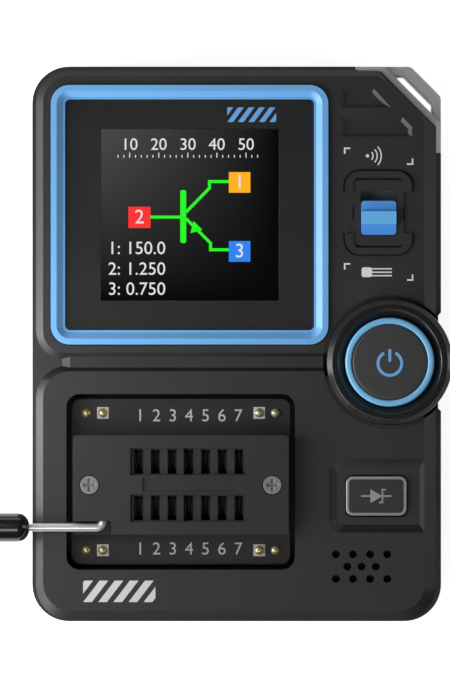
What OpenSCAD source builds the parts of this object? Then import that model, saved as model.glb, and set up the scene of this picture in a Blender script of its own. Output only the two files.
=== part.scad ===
// Hand-held component tester lying on its back: display up, test socket below it.
// Millimetres. +X right and +Y towards the display end, seen from the front; +Z out of the face.
// Origin: middle of the flat back of the case.

/* [Case] */
// Width of the case without the button collar
case_w = 62.2; // [62:0.1:70]
// Height of the case, from the socket end to the display end
case_h = 84.4; // [84:0.1:94]
// Radius of the outer corners
corner_r = 5.6; // [4:0.1:7]
// Height of the seam between the rear and the front cover
seam_z = 10; // [9:0.1:11.5]
// Height of the outer rim of the front cover
rim_z = 21; // [21:0.1:23]
// Height of the raised faces above the rim
island_t = 1; // [0.6:0.1:1.4]
// Thickness of the side walls
wall_t = 2; // [1.6:0.1:2.4]
// Thickness of the front face under the raised faces
face_t = 2.2; // [1.8:0.1:2.4]
// Thickness of the rear cover's floor
floor_t = 1.8; // [1.4:0.1:2.2]
// Width of the groove that runs round the case at the seam
seam_gap = 0.3; // [0.2:0.05:0.5]
// Bevel round the edge of the back
back_bevel = 1.2; // [0.6:0.1:1.6]

/* [Raised faces] */
// Flat rim left outside the raised faces at the left
rim_left = 0.55; // [0.3:0.05:0.8]
// Flat rim left outside the raised faces at the right
rim_right = 0.75; // [0.5:0.05:1]
// Flat rim left outside the raised faces at both ends
rim_end = 0.15; // [0.1:0.05:0.4]
// Width of the bevel at the left
bevel_left = 1.1; // [0.8:0.05:1.3]
// Width of the bevel at the right
bevel_right = 1.8; // [1.4:0.05:2.1]
// Width of the bevel at both ends
bevel_end = 1.45; // [1:0.05:1.6]
// Distance of the channel's middle line from the socket end
channel_y0 = 39.43; // [39.2:0.05:39.7]
// Width of the channel's floor between the raised faces
channel_w = 0.94; // [0.7:0.02:1.2]
// Width of the channel's sloping sides
channel_bevel = 0.92; // [0.7:0.02:1.1]
// Height of the channel's floor above the rim
channel_step = 0.4; // [0.2:0.05:0.6]
// Depth of the two ornamental recesses
recess_t = 0.5; // [0.3:0.05:0.8]

/* [Display] */
// Distance of the display frame from the left side
frame_left = 2.82; // [2.6:0.02:3.2]
// Distance of the display frame from the display end
frame_end = 2.82; // [2.6:0.02:3.2]
// Width of the display frame
frame_w = 42.22; // [41.6:0.02:42.6]
// Height of the display frame
frame_h = 39.47; // [39.2:0.02:39.7]
// Corner radius of the display frame
frame_r = 2.85; // [2:0.05:3.4]
// Width of the frame's band
frame_band = 2.18; // [2:0.02:2.4]
// Width of the frame's flat outer part
frame_flat = 0.9; // [0.7:0.05:1]
// Width of the frame's inner lip
frame_lip = 0.35; // [0.25:0.05:0.5]
// Height of the frame above the raised face
frame_rise = 0.4; // [0.2:0.05:0.7]
// Depth of the sloping part of the frame
frame_drop = 0.9; // [0.6:0.05:1.1]
// Depth of the seat that holds the frame and the panel
frame_seat = 2; // [1.6:0.05:2.1]
// Width of the window in the display panel
window_w = 27.2; // [25:0.1:28]
// Height of the window in the display panel
window_h = 26.2; // [24:0.1:27]
// Distance of the window from the frame's left edge
window_left = 7.56; // [6.8:0.02:8]
// Distance of the window from the frame's lower edge
window_low = 6.66; // [6:0.02:7.2]
// Depth of the lens below the panel's face
lens_sunk = 0.3; // [0.1:0.05:0.5]

/* [Test button] */
// Distance of the button's axis from the right side
test_right = 7.85; // [7.7:0.05:8]
// Radius of the collar round the button
collar_r = 9.58; // [9.3:0.02:9.7]
// Height of the collar above the raised face
collar_rise = 2.5; // [1.8:0.1:3]
// Radius of the button
test_r = 6.75; // [6.4:0.05:6.8]
// Width of the coloured ring on the button
ring_w = 0.97; // [0.7:0.01:1.2]
// Travel of both buttons
press_travel = 0.5; // [0.3:0.05:0.55]

/* [Zener button] */
// Distance of the button's middle from the right side
zener_right = 9.88; // [9.6:0.02:10]
// Distance of the button's middle from the socket end
zener_end = 19.08; // [18.8:0.02:19.4]
// Width of the rimmed button
zener_w = 9.15; // [8.4:0.05:9.4]
// Height of the rimmed button
zener_h = 5.93; // [5.4:0.05:6.1]
// Width of the button's metal rim
rim_w = 0.46; // [0.35:0.01:0.6]
// Width of the raised pad round the button
pad_w = 2.6; // [2.2:0.05:2.8]
// Height of the raised pad round the button
pad_rise = 0.8; // [0.5:0.05:1]

/* [Mode switch] */
// Distance of the switch's middle from the right side
switch_right = 9.5; // [9.3:0.02:9.7]
// Distance of the slot's middle from the display end
switch_end = 22.28; // [22:0.02:22.6]
// Width of the switch slot
slot_w = 5.57; // [5.2:0.01:5.8]
// Length of the switch slot
slot_l = 6.92; // [6.8:0.01:7.2]
// Length of the knob along the slot
knob_l = 5.16; // [4.8:0.02:5.2]
// Travel of the knob
knob_travel = 1.5; // [1:0.05:1.55]

/* [Test socket] */
// Distance of the socket well from the left side
well_left = 5.2; // [5:0.02:5.4]
// Distance of the socket well from the socket end
well_end = 7.84; // [7.6:0.02:8.1]
// Width of the socket well
well_w = 34.79; // [34.6:0.01:35]
// Height of the socket well
well_h = 26.74; // [26.6:0.01:26.9]
// Gap all round the plug-in board in the well
well_gap = 0.75; // [0.5:0.01:0.85]
// Depth of the plug-in board below the raised face
well_depth = 3.5; // [3.2:0.05:3.8]
// Width of the socket body
socket_w = 32.8; // [32.6:0.05:32.95]
// Height of the socket body
socket_h = 15.07; // [14.8:0.02:15.4]
// Pitch of the socket's slots
pitch = 2.54; // [2.4:0.01:2.54]
// Number of slots in each row
slots = 7; // [5:1:7]
// Distance between the middles of the two rows
row_gap = 7.05; // [6.8:0.05:7.2]
// Thickness of the socket's base
socket_base_t = 2.9; // [2.7:0.05:3.1]
// Thickness of the socket's cover
socket_top_t = 2.9; // [2.85:0.05:3.1]
// Diameter of the lever's rod
rod_d = 1.3; // [1.1:0.05:1.35]
// Height of the lever's rod above the raised face
rod_clear = 0.2; // [0.15:0.01:0.25]
// Offset of the crank pin from the shaft
crank_off = 0.8; // [0.6:0.05:0.8]
// Diameter of the lever's grip
grip_d = 4.46; // [4:0.02:4.8]
// Length of the lever's grip
grip_l = 12; // [9:0.5:14]

/* [Inside] */
// Height of the main board's top face
board_top = 14; // [13.6:0.05:14.2]
// Thickness of both circuit boards
board_t = 1.6; // [1.2:0.1:1.8]
// Width of the battery
battery_w = 40; // [36:0.5:42]
// Height of the battery
battery_h = 26; // [22:0.5:28]
// Thickness of the battery
battery_t = 4.8; // [4:0.1:5]
// Middle of the charging socket, from the middle of the case to the left
port_left = 8; // [6:0.5:14]

/* [Lanyard corner] */
// Length of the strip along the display end, from the case corner
strip_x = 13.05; // [12.6:0.05:13.5]
// Length of the strip along the right side, from the case corner
strip_y = 13.15; // [12.6:0.05:13.5]
// Thickness of both strips
strip_t = 0.76; // [0.6:0.01:0.9]
// Length that the slope cuts off both sides of the loop's corner
loop_cut = 4.6; // [4:0.05:4.8]
// Width of the band between the case and the strap slot
strap_band = 1; // [0.8:0.02:1.2]
// Width of the strap slot
strap_w = 1.2; // [1:0.05:1.6]
// Depth of the corner piece below the rim
lanyard_depth = 16; // [12:0.5:17]

/* [Hidden] */

$fn = 64;
small = 0.01;          // overlap of solids that are joined or cut
far = 20;              // reach of cutting shapes outside the case
arc_steps = 6;         // straight steps in a rounded corner of a profile
fit = 0.05;            // radial gap of a shaft in its bearing
slide_gap = 0.2;       // gap beside a sliding piece
pin_gap = 0.1;         // gap round a button's guide

case_left = -case_w / 2;
case_right = case_w / 2;
case_low = -case_h / 2;
case_high = case_h / 2;
face_z = rim_z + island_t;
under_z = face_z - face_t;
channel_y = case_low + channel_y0;
inner_r = corner_r - wall_t;
tongue_t = 1;          // thickness of the rear cover's tongue
tongue_h = 1.4;
tongue_gap = 0.1;

// the corner piece follows a line at 45 degrees across the case's corner
corner_cut = 8.45;     // length cut off each side of the corner by the sloping band
cut_low = case_high - strip_t - corner_cut;
cut_left = case_right - strip_t - corner_cut;
loop_step = 0.4;       // the loop's top lies this far below the band's
loop_wall_y = 1.38;    // loop's wall outside the slot, at the display end
loop_wall_x = 1.24;    // and at the right side

// ornamental recesses
recess_x = case_right - 15.37;
recess_y1 = case_high - 3.33;
recess_y2 = case_high - 7.72;
recess_h = 2.94;

// display
frame_x = case_left + frame_left + frame_w / 2;
frame_y = case_high - frame_end - frame_h / 2;
frame_floor = face_z - frame_seat;
frame_gap = 0.15;
panel_w = frame_w - 2 * frame_band;
panel_h = frame_h - 2 * frame_band;
panel_r = 0.75;
panel_sunk = 0.3;      // panel's face below the frame's lip
panel_top = face_z + frame_rise - frame_drop - panel_sunk;
panel_gap = 0.1;
ledge_w = 1;           // ledge that carries the panel
ledge_t = 1.4;
ledge_band = 1.2;      // ledge's reach outside the frame
window_x = frame_x - frame_w / 2 + window_left + window_w / 2;
window_y = frame_y - frame_h / 2 + window_low + window_h / 2;
module_side = 2.48;    // free width of the opening beside the module
module_end = 0.55;
module_w = panel_w - 2 * ledge_w - 2 * module_side;
module_h = panel_h - 2 * ledge_w - 2 * module_end;
module_t = 2.6;
module_low = frame_floor - module_t;
holder_low = 0.7;      // module's overhang over its holder at the socket end
holder_end = 1.3;      // and at the display end

// boards
board_low = board_top - board_t;
board_gap = 0.7;
screw_in = 5.1;        // case screws, from the sides and the ends
screw_r = 1;
screw_head_r = 1.9;
screw_head_t = 1.5;
screw_sink = 2.2;
screw_grip = 3.8;      // thread above the main board
boss_r = 2.6;
screw_places = [[case_left + screw_in, case_high - screw_in],
    [case_left + screw_in, case_low + screw_in],
    [case_right - screw_in, case_low + screw_in],
    [case_right - 6.6, case_high - 11.4]];
battery_x = -3;
battery_y = 2;
fence_t = 1.2;
fence_h = 3;
plug_t = 3.6;
plug_low_z = board_low - plug_t;
port_w = 8.94;         // outside of the charging socket's shell
port_h = 3.2;
port_l = 6.6;
port_wall = 0.3;
port_z = board_top + port_h / 2;
chip_w = 10;
chip_t = 1.4;
crystal_in = 10.5;     // clock crystal, from the socket's middle

// test button
test_x = case_right - test_right;
test_y = channel_y;
seat_gap = 0.5;
seat_depth = 5.5;
seat_z = face_z - seat_depth;
seat_floor_t = 1.5;
notch_side = 0.95;     // step of the case's side beside the collar
notch_high = collar_r - 2.98;
notch_low = collar_r - 3.08;
collar_top = face_z + collar_rise;
test_top = collar_top + 0.1;
groove_w = 0.96;       // sloping inner edge of the collar
collar_bevel = 0.8;
bore_gap = 0.2;        // gap between the button and the collar
ring_t = 1.7;
post_r = 1.6;          // post under each button, over the switch plunger
tact_w = 6;
tact_t = 3.5;
tact_top = board_top + tact_t;
plunger_r = 1.75;
plunger_up = 0.8;
flange_out = 0.85;     // retaining flange of the round button
flange_t = 0.8;
flange_low = seat_z + press_travel + 0.4;

// zener button
zener_x = case_right - zener_right;
zener_y = case_low + zener_end;
zener_rise = 0.55;
zener_top = face_z + pad_rise + zener_rise;
zener_rim_t = 1.4;
zener_flange_t = 0.8;
pad_bevel = 1.2;
zener_flange_low = under_z - pin_gap - 1.1;

// mode switch
switch_x = case_right - switch_right;
switch_y = case_high - switch_end;
switch_t = 4.4;
knob_gap = 0.13;
knob_y = switch_y - slot_l / 2 + knob_gap + knob_l / 2;
bracket_y = switch_y + 0.055;
bracket_w = 10.1;
bracket_h = 12.55;
bracket_in_w = 7.67;
bracket_in_h = 10.7;
bracket_rise = 0.35;
plinth_h = 9.84;       // raised field inside the brackets
plinth_rise = 0.2;
groove_t = 0.35;       // width and depth of the grooves beside the brackets
switch_body_w = 7.4;
switch_body_l = 12.6;
stem_w = 2.4;
knob_side = 0.115;     // gap at each side of the knob in its slot
knob_w = slot_w - 2 * knob_side;
knob_rise = 0.35;
shield_t = 0.6;
ridge_rise = 0.75;
ridge_l = 1.96;

// receiver behind the grille
ir_x = case_right - 12.1;
ir_y = case_low + 8.33;
ir_w = 9;
ir_h = 5.4;

// test socket
well_x = case_left + well_left + well_w / 2;
well_y = case_low + well_end + well_h / 2;
well_r = 2;
plug_top = face_z - well_depth;
plug_low = plug_top - board_t;
socket_x = well_x + 0.02;
socket_y = well_y - 0.42;
socket_left = socket_x - socket_w / 2;
socket_low = socket_y - socket_h / 2;
socket_split = plug_top + socket_base_t;
socket_top = socket_split + socket_top_t;
rows_off = 1.21;
rows_x = socket_x + rows_off;
rod_r = rod_d / 2;
rod_z = face_z + rod_clear + rod_r;
rod_y = socket_low + 1.05;
shaft_x = socket_left + 4.57;
notch_w = shaft_x + 1.22 - socket_left;
notch_h = 2;
crank_y = socket_y - 2.9;
crank_l = 1.6;
crank_r = 0.5;
web_t = 0.5;
yoke_gap = 0.3;
yoke_wall = 0.7;
yoke_l = crank_l - 0.2;
yoke_half = crank_r + yoke_gap;
yoke_floor_t = 0.5;
yoke_floor = rod_z - crank_off - crank_r - 0.1 - yoke_floor_t;
slider_t = 0.9;
slider_up = 0.05;
slider_left = rows_x - slots * pitch / 2 - 1.72;
slider_right = rows_x + slots * pitch / 2 + 1;
slot_open = 1.34;      // width of a lead slot
slot_long = 3.7;
socket_screw_in = 2.5;
socket_screw_r = 1;
socket_head_r = 1.4;
socket_screw_y = socket_y - 0.03;
socket_screw_z = socket_top - 0.8;
socket_screw_x = [socket_left + socket_screw_in, socket_left + socket_w - socket_screw_in];
grip_start = case_left - 0.4;
pin_side = 2.22;       // header pins, from the plug-in board's sides and ends
pin_end = 2.15;
pin_step = 2.49;

// ---- profiles ----

// Points of a polygon whose corners [x, y, radius] are rounded
function corner_arc(a, b, c) =
    b[2] == 0 ? [[b[0], b[1]]] :
    let (u = [a[0] - b[0], a[1] - b[1]], v = [c[0] - b[0], c[1] - b[1]],
        ul = u / norm(u), vl = v / norm(v),
        half = acos(ul * vl) / 2,
        mid = [b[0], b[1]] + (ul + vl) / norm(ul + vl) * b[2] / sin(half),
        s = [b[0], b[1]] + ul * b[2] / tan(half) - mid,
        e = [b[0], b[1]] + vl * b[2] / tan(half) - mid,
        a0 = atan2(s[1], s[0]),
        turn = (atan2(e[1], e[0]) - a0 + 540) % 360 - 180)
    [for (k = [0 : arc_steps]) mid + b[2] * [cos(a0 + turn * k / arc_steps),
        sin(a0 + turn * k / arc_steps)]];

function rounded(p) = [for (i = [0 : len(p) - 1])
    each corner_arc(p[(i + len(p) - 1) % len(p)], p[i], p[(i + 1) % len(p)])];

// Rectangle round a middle point with true arcs at the corners
module round_rect(x, y, w, h, r) {
    translate([x, y]) {
        square([w - 2 * r, h], center = true);
        square([w, h - 2 * r], center = true);
        for (sx = [-1, 1], sy = [-1, 1])
            translate([sx * (w / 2 - r), sy * (h / 2 - r)]) circle(r);
    }
}

module slab(x, y, w, h, r, z0, z1) {
    translate([0, 0, z0]) linear_extrude(z1 - z0) round_rect(x, y, w, h, r);
}

module block(x, y, w, h, z0, z1) {
    translate([x - w / 2, y - h / 2, z0]) cube([w, h, z1 - z0]);
}

module post(x, y, r, z0, z1) {
    translate([x, y, z0]) cylinder(r = r, h = z1 - z0);
}

// Slab whose side slopes from one outline to a smaller one
module bevelled(low, high, z0, z1) {
    hull() {
        translate([0, 0, z0]) linear_extrude(small) polygon(rounded(low));
        translate([0, 0, z1 - small]) linear_extrude(small) polygon(rounded(high));
    }
}

// ---- case ----

// What the lanyard corner takes from the case's outline
module lanyard_region(grow = 0) {
    polygon([[case_right - strip_x - grow, case_high - strip_t - grow],
        [cut_left - grow * 0.4, case_high - strip_t - grow],
        [case_right - strip_t - grow, cut_low - grow * 0.4],
        [case_right - strip_t - grow, case_high - strip_y - grow],
        [case_right + far, case_high - strip_y - grow],
        [case_right + far, case_high + far],
        [case_right - strip_x - grow, case_high + far]]);
}

// Step in the right side beside the button's collar
module side_notch(grow = 0) {
    polygon([[case_right - notch_side - grow, test_y - notch_low],
        [case_right + far, test_y - notch_low - far - notch_side],
        [case_right + far, test_y + notch_high + far + notch_side],
        [case_right - notch_side - grow, test_y + notch_high]]);
}

module case_outline(inset = 0, r = corner_r) {
    difference() {
        round_rect(0, 0, case_w - 2 * inset, case_h - 2 * inset, r);
        lanyard_region(inset);
        side_notch(inset);
    }
}

module case_slab(inset, r, z0, z1) {
    translate([0, 0, z0]) linear_extrude(z1 - z0) case_outline(inset, r);
}

// Outlines of the raised faces: the bevel share is 0 at the foot and 1 on top
function upper_path(bevel) =
    let (x0 = case_left + rim_left + bevel * bevel_left,
        x1 = case_right - rim_right - bevel * bevel_right,
        y0 = channel_y + channel_w / 2 + bevel * channel_bevel,
        y1 = case_high - strip_t + 0.4 - bevel * (bevel_end - 0.36),
        edge = cut_left + case_high - strip_t - bevel * 0.92)
    [[x0, y0, 4.3 - bevel], [x1, y0, 0], [x1, edge - x1, 0], [edge - y1, y1, 0],
        [x0, y1, corner_r - 0.5 - bevel * 1.1]];

function lower_path(bevel) =
    let (x0 = case_left + rim_left + bevel * bevel_left,
        x1 = case_right - rim_right - bevel * bevel_right,
        y0 = case_low + rim_end + bevel * bevel_end,
        y1 = channel_y - channel_w / 2 - bevel * channel_bevel)
    [[x0, y0, corner_r - 0.3 - bevel * 1.1], [x1, y0, corner_r - 0.3 - bevel * 1.5], [x1, y1, 0],
        [x0, y1, 5 - bevel]];

// Outline of the pad round the zener button, square where it runs into the side bevel
function pad_path(inset, side_inset, r) =
    let (x0 = zener_x - zener_w / 2 - pad_w + inset,
        x1 = case_right - rim_right - bevel_right - side_inset,
        y0 = zener_y - zener_h / 2 - pad_w + inset,
        y1 = zener_y + zener_h / 2 + pad_w - inset)
    [[x0, y0, r], [x1, y0, 0], [x1, y1, 0], [x0, y1, r]];

// Shallow recess whose floor is smaller than its mouth
module sunk_shape(mouth, floor_path) {
    hull() {
        translate([0, 0, face_z]) linear_extrude(small) polygon(mouth);
        translate([0, 0, face_z - recess_t]) linear_extrude(small) polygon(floor_path);
    }
}

// Two shallow ornamental recesses beside the display
module ornament_recesses() {
    x0 = recess_x;
    y1 = recess_y1;
    y2 = recess_y2;
    h = recess_h;
    in = 0.6;
    sunk_shape([[x0, y1], [x0 + 5.1, y1], [x0 + 7.78, y1 - h], [x0, y1 - h]],
        [[x0 + in, y1 - in], [x0 + 4.86, y1 - in], [x0 + 6.6, y1 - h + 0.43],
        [x0 + in, y1 - h + 0.43]]);
    sunk_shape([[x0, y2], [x0 + 9.52, y2], [x0 + 10.94, y2 - h / 2], [x0 + 10.94, y2 - h],
        [x0, y2 - h]], [[x0 + in, y2 - in], [x0 + 9.22, y2 - in], [x0 + 10.32, y2 - 1.73],
        [x0 + 10.32, y2 - h + 0.43], [x0 + in, y2 - h + 0.43]]);
}

// Raised clips round the mode switch, with the grooves that set them off
module switch_brackets(rise, grow, shrink) {
    gap_h = bracket_h / 2;
    difference() {
        slab(switch_x, bracket_y, bracket_w + 2 * grow, bracket_h + 2 * grow, 2.2 + grow,
            face_z - groove_t, face_z + rise);
        slab(switch_x, bracket_y, bracket_in_w + 2 * shrink, bracket_in_h + 2 * shrink, 0.9,
            face_z - 1, face_z + 1);
        block(switch_x, bracket_y, 2 * far, gap_h, face_z - 1, face_z + 1);
    }
}

module switch_grooves() {
    difference() {
        switch_brackets(1, groove_t, -groove_t);
        switch_brackets(2, 0, 0);
        block(switch_x, bracket_y, bracket_in_w, plinth_h, face_z - 1, face_z + 2);
    }
    for (s = [-1, 1])
        block(switch_x + s * bracket_in_w / 2, bracket_y, 0.3, 1.9, face_z - 0.3, face_z + 1);
}

module grille_holes() {
    hole_r = 0.6;
    step_x = 2.6;
    step_y = 1.87;
    for (row = [-1, 1], k = [-1.5, -0.5, 0.5, 1.5])
        post(ir_x + k * step_x, ir_y + row * step_y, hole_r, under_z - 1, face_z + 1);
    for (k = [-1, 0, 1])
        post(ir_x + k * 2.17, ir_y, hole_r, under_z - 1, face_z + 1);
}

module port_opening(w, h, z, y0, y1) {
    translate([-port_left, y0, z]) rotate([-90, 0, 0]) linear_extrude(y1 - y0)
        round_rect(0, 0, w, h, h / 2 - small);
}

module front_cover() {
    color([0.2, 0.2, 0.21])
    difference() {
        union() {
            difference() {
                union() {
                    case_slab(0, corner_r, seam_z + seam_gap, rim_z);
                    case_slab(seam_gap, corner_r - seam_gap, seam_z, seam_z + seam_gap);
                }
                difference() {
                    case_slab(wall_t, inner_r, seam_z - 1, under_z);
                    // cup that carries the button's collar
                    post(test_x, test_y, collar_r + seat_gap + 1.5, seat_z - seat_floor_t,
                        under_z + 1);
                    // well round the plug-in board
                    slab(well_x, well_y, well_w + 2 * ledge_band, well_h + 2 * ledge_band,
                        well_r + ledge_band, plug_low, under_z + 1);
                    // ledge under the display panel
                    slab(frame_x, frame_y, frame_w + 2 * ledge_band, frame_h + 2 * ledge_band,
                        frame_r + ledge_band, frame_floor - ledge_t, under_z + 1);
                    // screw bosses
                    for (p = screw_places) post(p[0], p[1], boss_r, board_top, under_z + 1);
                }
            }
            intersection() {
                bevelled(upper_path(0), upper_path(1), rim_z - small, face_z);
                case_slab(0, corner_r, rim_z - 1, face_z + 1);
            }
            intersection() {
                bevelled(lower_path(0), lower_path(1), rim_z - small, face_z);
                case_slab(0, corner_r, rim_z - 1, face_z + 1);
            }
            // floor of the channel, with the small ramp at its open end
            translate([0, channel_y + 1.2, 0]) rotate([90, 0, 0]) linear_extrude(2.4)
                polygon([[case_left + 4.55, rim_z - small], [case_left + 5.75, rim_z + channel_step],
                    [test_x - collar_r, rim_z + channel_step], [test_x - collar_r, rim_z - small]]);
            // raised pad round the zener button
            bevelled(pad_path(0, 0, 1.85), pad_path(pad_bevel, 0.7, 1.4), face_z - small,
                face_z + pad_rise);
            switch_brackets(bracket_rise, 0, 0);
            slab(switch_x, bracket_y, bracket_in_w, plinth_h, 0.4, face_z - small,
                face_z + plinth_rise);
        }
        ornament_recesses();
        switch_grooves();
        // openings
        slab(frame_x, frame_y, frame_w + 2 * frame_gap, frame_h + 2 * frame_gap,
            frame_r + frame_gap, frame_floor, face_z + 1);
        slab(frame_x, frame_y, panel_w - 2 * ledge_w, panel_h - 2 * ledge_w, panel_r,
            frame_floor - ledge_t - 1, face_z + 1);
        slab(well_x, well_y, well_w, well_h, well_r, plug_low - 1, face_z + 1);
        post(test_x, test_y, collar_r + seat_gap, seat_z, face_z + 2);
        post(test_x, test_y, tact_w * 0.84, seat_z - seat_floor_t - 1, face_z);
        slab(zener_x, zener_y, zener_w + 0.4, zener_h + 0.46, 1.1, under_z - 1,
            face_z + pad_rise + 1);
        slab(switch_x, switch_y, slot_w, slot_l, 0.5, under_z - 1, face_z + 1);
        grille_holes();
        port_opening(port_w + 0.86, port_h + 0.8, port_z, case_high - wall_t - 1, case_high + 1);
        for (p = screw_places) post(p[0], p[1], screw_r + fit, board_top - 1, under_z - 1);
    }
}

module rear_cover() {
    tongue_in = wall_t + tongue_gap + tongue_t;
    color([0.2, 0.2, 0.21])
    difference() {
        union() {
            hull() {
                case_slab(back_bevel, corner_r - back_bevel, 0, small);
                case_slab(0, corner_r, back_bevel, back_bevel + small);
            }
            case_slab(0, corner_r, back_bevel, seam_z - seam_gap);
            case_slab(seam_gap, corner_r - seam_gap, seam_z - seam_gap - small, seam_z);
            // tongue inside the front cover's wall
            difference() {
                case_slab(wall_t + tongue_gap, inner_r - tongue_gap, seam_z - 1,
                    seam_z + tongue_h);
                case_slab(tongue_in, corner_r - tongue_in, seam_z - 2, seam_z + 2);
            }
        }
        difference() {
            case_slab(wall_t + tongue_gap, inner_r - tongue_gap, floor_t, seam_z + small);
            difference() {
                case_slab(wall_t, inner_r, seam_z - 2, seam_z + small);
                case_slab(tongue_in, corner_r - tongue_in, seam_z - 3, seam_z + 1);
            }
            for (p = screw_places) post(p[0], p[1], boss_r + 0.8, 0, seam_z + 1);
            // fence round the battery, open where its leads come out
            difference() {
                block(battery_x, battery_y, battery_w + 2 * (slide_gap + fence_t),
                    battery_h + 2 * (slide_gap + fence_t), 0, floor_t + fence_h);
                block(battery_x, battery_y, battery_w + 2 * slide_gap,
                    battery_h + 2 * slide_gap, -1, floor_t + far);
                block(battery_x, battery_y + battery_h / 2, 8, 6, -1, floor_t + far);
            }
        }
        for (p = screw_places) {
            post(p[0], p[1], screw_head_r + 0.3, -1, screw_sink);
            post(p[0], p[1], screw_r + 0.2, -1, board_top);
        }
    }
    color([0.2, 0.2, 0.21]) difference() {
        for (p = screw_places) post(p[0], p[1], boss_r, seam_z - 1, board_low);
        for (p = screw_places) post(p[0], p[1], screw_r + 0.2, seam_z - 2, board_top);
    }
}

module lanyard_corner() {
    x1 = case_right;
    y1 = case_high;
    slot_high = y1 - loop_wall_y;
    slot_right = x1 - loop_wall_x;
    slot_sum = cut_left + y1 - strip_t + strap_band * sqrt(2);
    slot_step = strap_w * sqrt(2);
    color([0.64, 0.65, 0.66])
    difference() {
        translate([0, 0, rim_z - lanyard_depth]) linear_extrude(lanyard_depth)
        polygon(rounded([[x1 - strip_x, y1 - strip_t, 0], [cut_left, y1 - strip_t, 0],
            [x1 - strip_t, cut_low, 0], [x1 - strip_t, y1 - strip_y, 0], [x1, y1 - strip_y, 0],
            [x1, y1 - loop_cut, 1.2], [x1 - loop_cut, y1, 1.2], [x1 - strip_x, y1, 0]]));
        translate([0, 0, rim_z - lanyard_depth - 1]) linear_extrude(lanyard_depth + 2)
        polygon([[slot_sum - slot_high, slot_high], [slot_sum - slot_high + slot_step, slot_high],
            [slot_right, slot_sum - slot_right + slot_step], [slot_right, slot_sum - slot_right]]);
        translate([0, 0, rim_z - loop_step]) linear_extrude(1)
        polygon([[slot_sum - y1 - 1, y1 + 1], [x1 + 1, slot_sum - x1 - 1], [x1 + 1, y1 + 1]]);
    }
}

// ---- display ----

module display_frame() {
    lip = frame_band - frame_lip;
    color([0.43, 0.66, 0.89])
    difference() {
        slab(frame_x, frame_y, frame_w, frame_h, frame_r, frame_floor, face_z + frame_rise);
        slab(frame_x, frame_y, panel_w, panel_h, panel_r, frame_floor - 1, face_z + 1);
        hull() {
            slab(frame_x, frame_y, frame_w - 2 * lip, frame_h - 2 * lip, 1,
                face_z + frame_rise - frame_drop, face_z + frame_rise - frame_drop + small);
            slab(frame_x, frame_y, frame_w - 2 * frame_flat, frame_h - 2 * frame_flat, 1.95,
                face_z + frame_rise, face_z + frame_rise + small);
        }
    }
}

module display_panel() {
    color([0.17, 0.17, 0.18])
    difference() {
        slab(frame_x, frame_y, panel_w - 2 * panel_gap, panel_h - 2 * panel_gap, panel_r,
            frame_floor, panel_top);
        slab(window_x, window_y, window_w, window_h, 0.2, frame_floor - 1, panel_top + 1);
    }
}

module display_lens() {
    color([0.03, 0.03, 0.03])
    slab(window_x, window_y, window_w - 2 * panel_gap, window_h - 2 * panel_gap, 0.15,
        frame_floor, panel_top - lens_sunk);
}

module display_module() {
    color([0.7, 0.7, 0.72])
    difference() {
        slab(frame_x, frame_y, module_w, module_h, 0.6, module_low, frame_floor);
        slab(frame_x, frame_y, module_w - 2, module_h - 2, 0.3, module_low - 1, module_low + 0.4);
    }
}

module display_holder() {
    holder_w = module_w - 0.8;
    holder_h = module_h - holder_low - holder_end;
    holder_y = frame_y + (holder_low - holder_end) / 2;
    rib = 2.25;
    mid_rib = 2.4;
    bay_w = (holder_w - mid_rib) / 2 - rib;
    color([0.9, 0.9, 0.88])
    difference() {
        slab(frame_x, holder_y, holder_w, holder_h, 0.8, board_top, module_low);
        for (s = [-1, 1])
            slab(frame_x + s * (bay_w + mid_rib) / 2, holder_y, bay_w, holder_h - 4, 1,
                board_top - 1, module_low + 1);
    }
}

// ---- boards and what they carry ----

module main_board() {
    color([0.05, 0.25, 0.14])
    difference() {
        case_slab(wall_t + board_gap, inner_r - board_gap, board_low, board_top);
        for (p = screw_places) post(p[0], p[1], screw_r + 0.3, board_low - 1, board_top + 1);
    }
}

module processor_chip() {
    color([0.08, 0.08, 0.09])
    block(socket_x, socket_y, chip_w, chip_w, board_top, board_top + chip_t);
}

module charger_chip() {
    color([0.08, 0.08, 0.09])
    block(6, case_high - 5.2, chip_w / 2, chip_w * 0.4, board_top, board_top + chip_t);
}

module clock_crystal() {
    color([0.75, 0.75, 0.76])
    slab(socket_x - crystal_in, socket_y + chip_w / 2, 4.6, 3.2, 1.5, board_top,
        board_top + 1.8);
}

module charging_port() {
    mouth_y = case_high - 0.3;
    port_y0 = mouth_y - port_l;
    bore_w = port_w - 2 * port_wall;
    color([0.72, 0.73, 0.74])
    difference() {
        union() {
            port_opening(port_w, port_h, port_z, port_y0, mouth_y);
            block(-port_left, port_y0 + 2, 6, 3.4, board_top, port_z);
        }
        port_opening(bore_w, port_h - 2 * port_wall, port_z, port_y0 + 1.2, mouth_y + 1);
    }
    color([0.1, 0.1, 0.1])
    block(-port_left, port_y0 + port_l / 2, bore_w * 0.8, port_l - 2, port_z - 0.35,
        port_z + 0.35);
}

module battery() {
    color([0.55, 0.6, 0.66])
    slab(battery_x, battery_y, battery_w, battery_h, 1, floor_t, floor_t + battery_t);
}

module battery_leads() {
    lead_r = 0.6;
    bend_r = 2;
    run = 4;
    lead_z = floor_t + battery_t / 2;
    lead_y = battery_y + battery_h / 2;
    for (s = [-1, 1]) color(s < 0 ? [0.7, 0.08, 0.06] : [0.05, 0.05, 0.05]) {
        translate([battery_x + s, lead_y, lead_z]) rotate([-90, 0, 0])
            cylinder(r = lead_r, h = run);
        translate([battery_x + s, lead_y + run, lead_z + bend_r]) rotate([90, 0, 90])
            rotate([0, 0, -90]) rotate_extrude(angle = 90) translate([bend_r, 0]) circle(lead_r);
        translate([battery_x + s, lead_y + run + bend_r, lead_z + bend_r])
            cylinder(r = lead_r, h = plug_low_z - lead_z - bend_r);
    }
}

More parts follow.
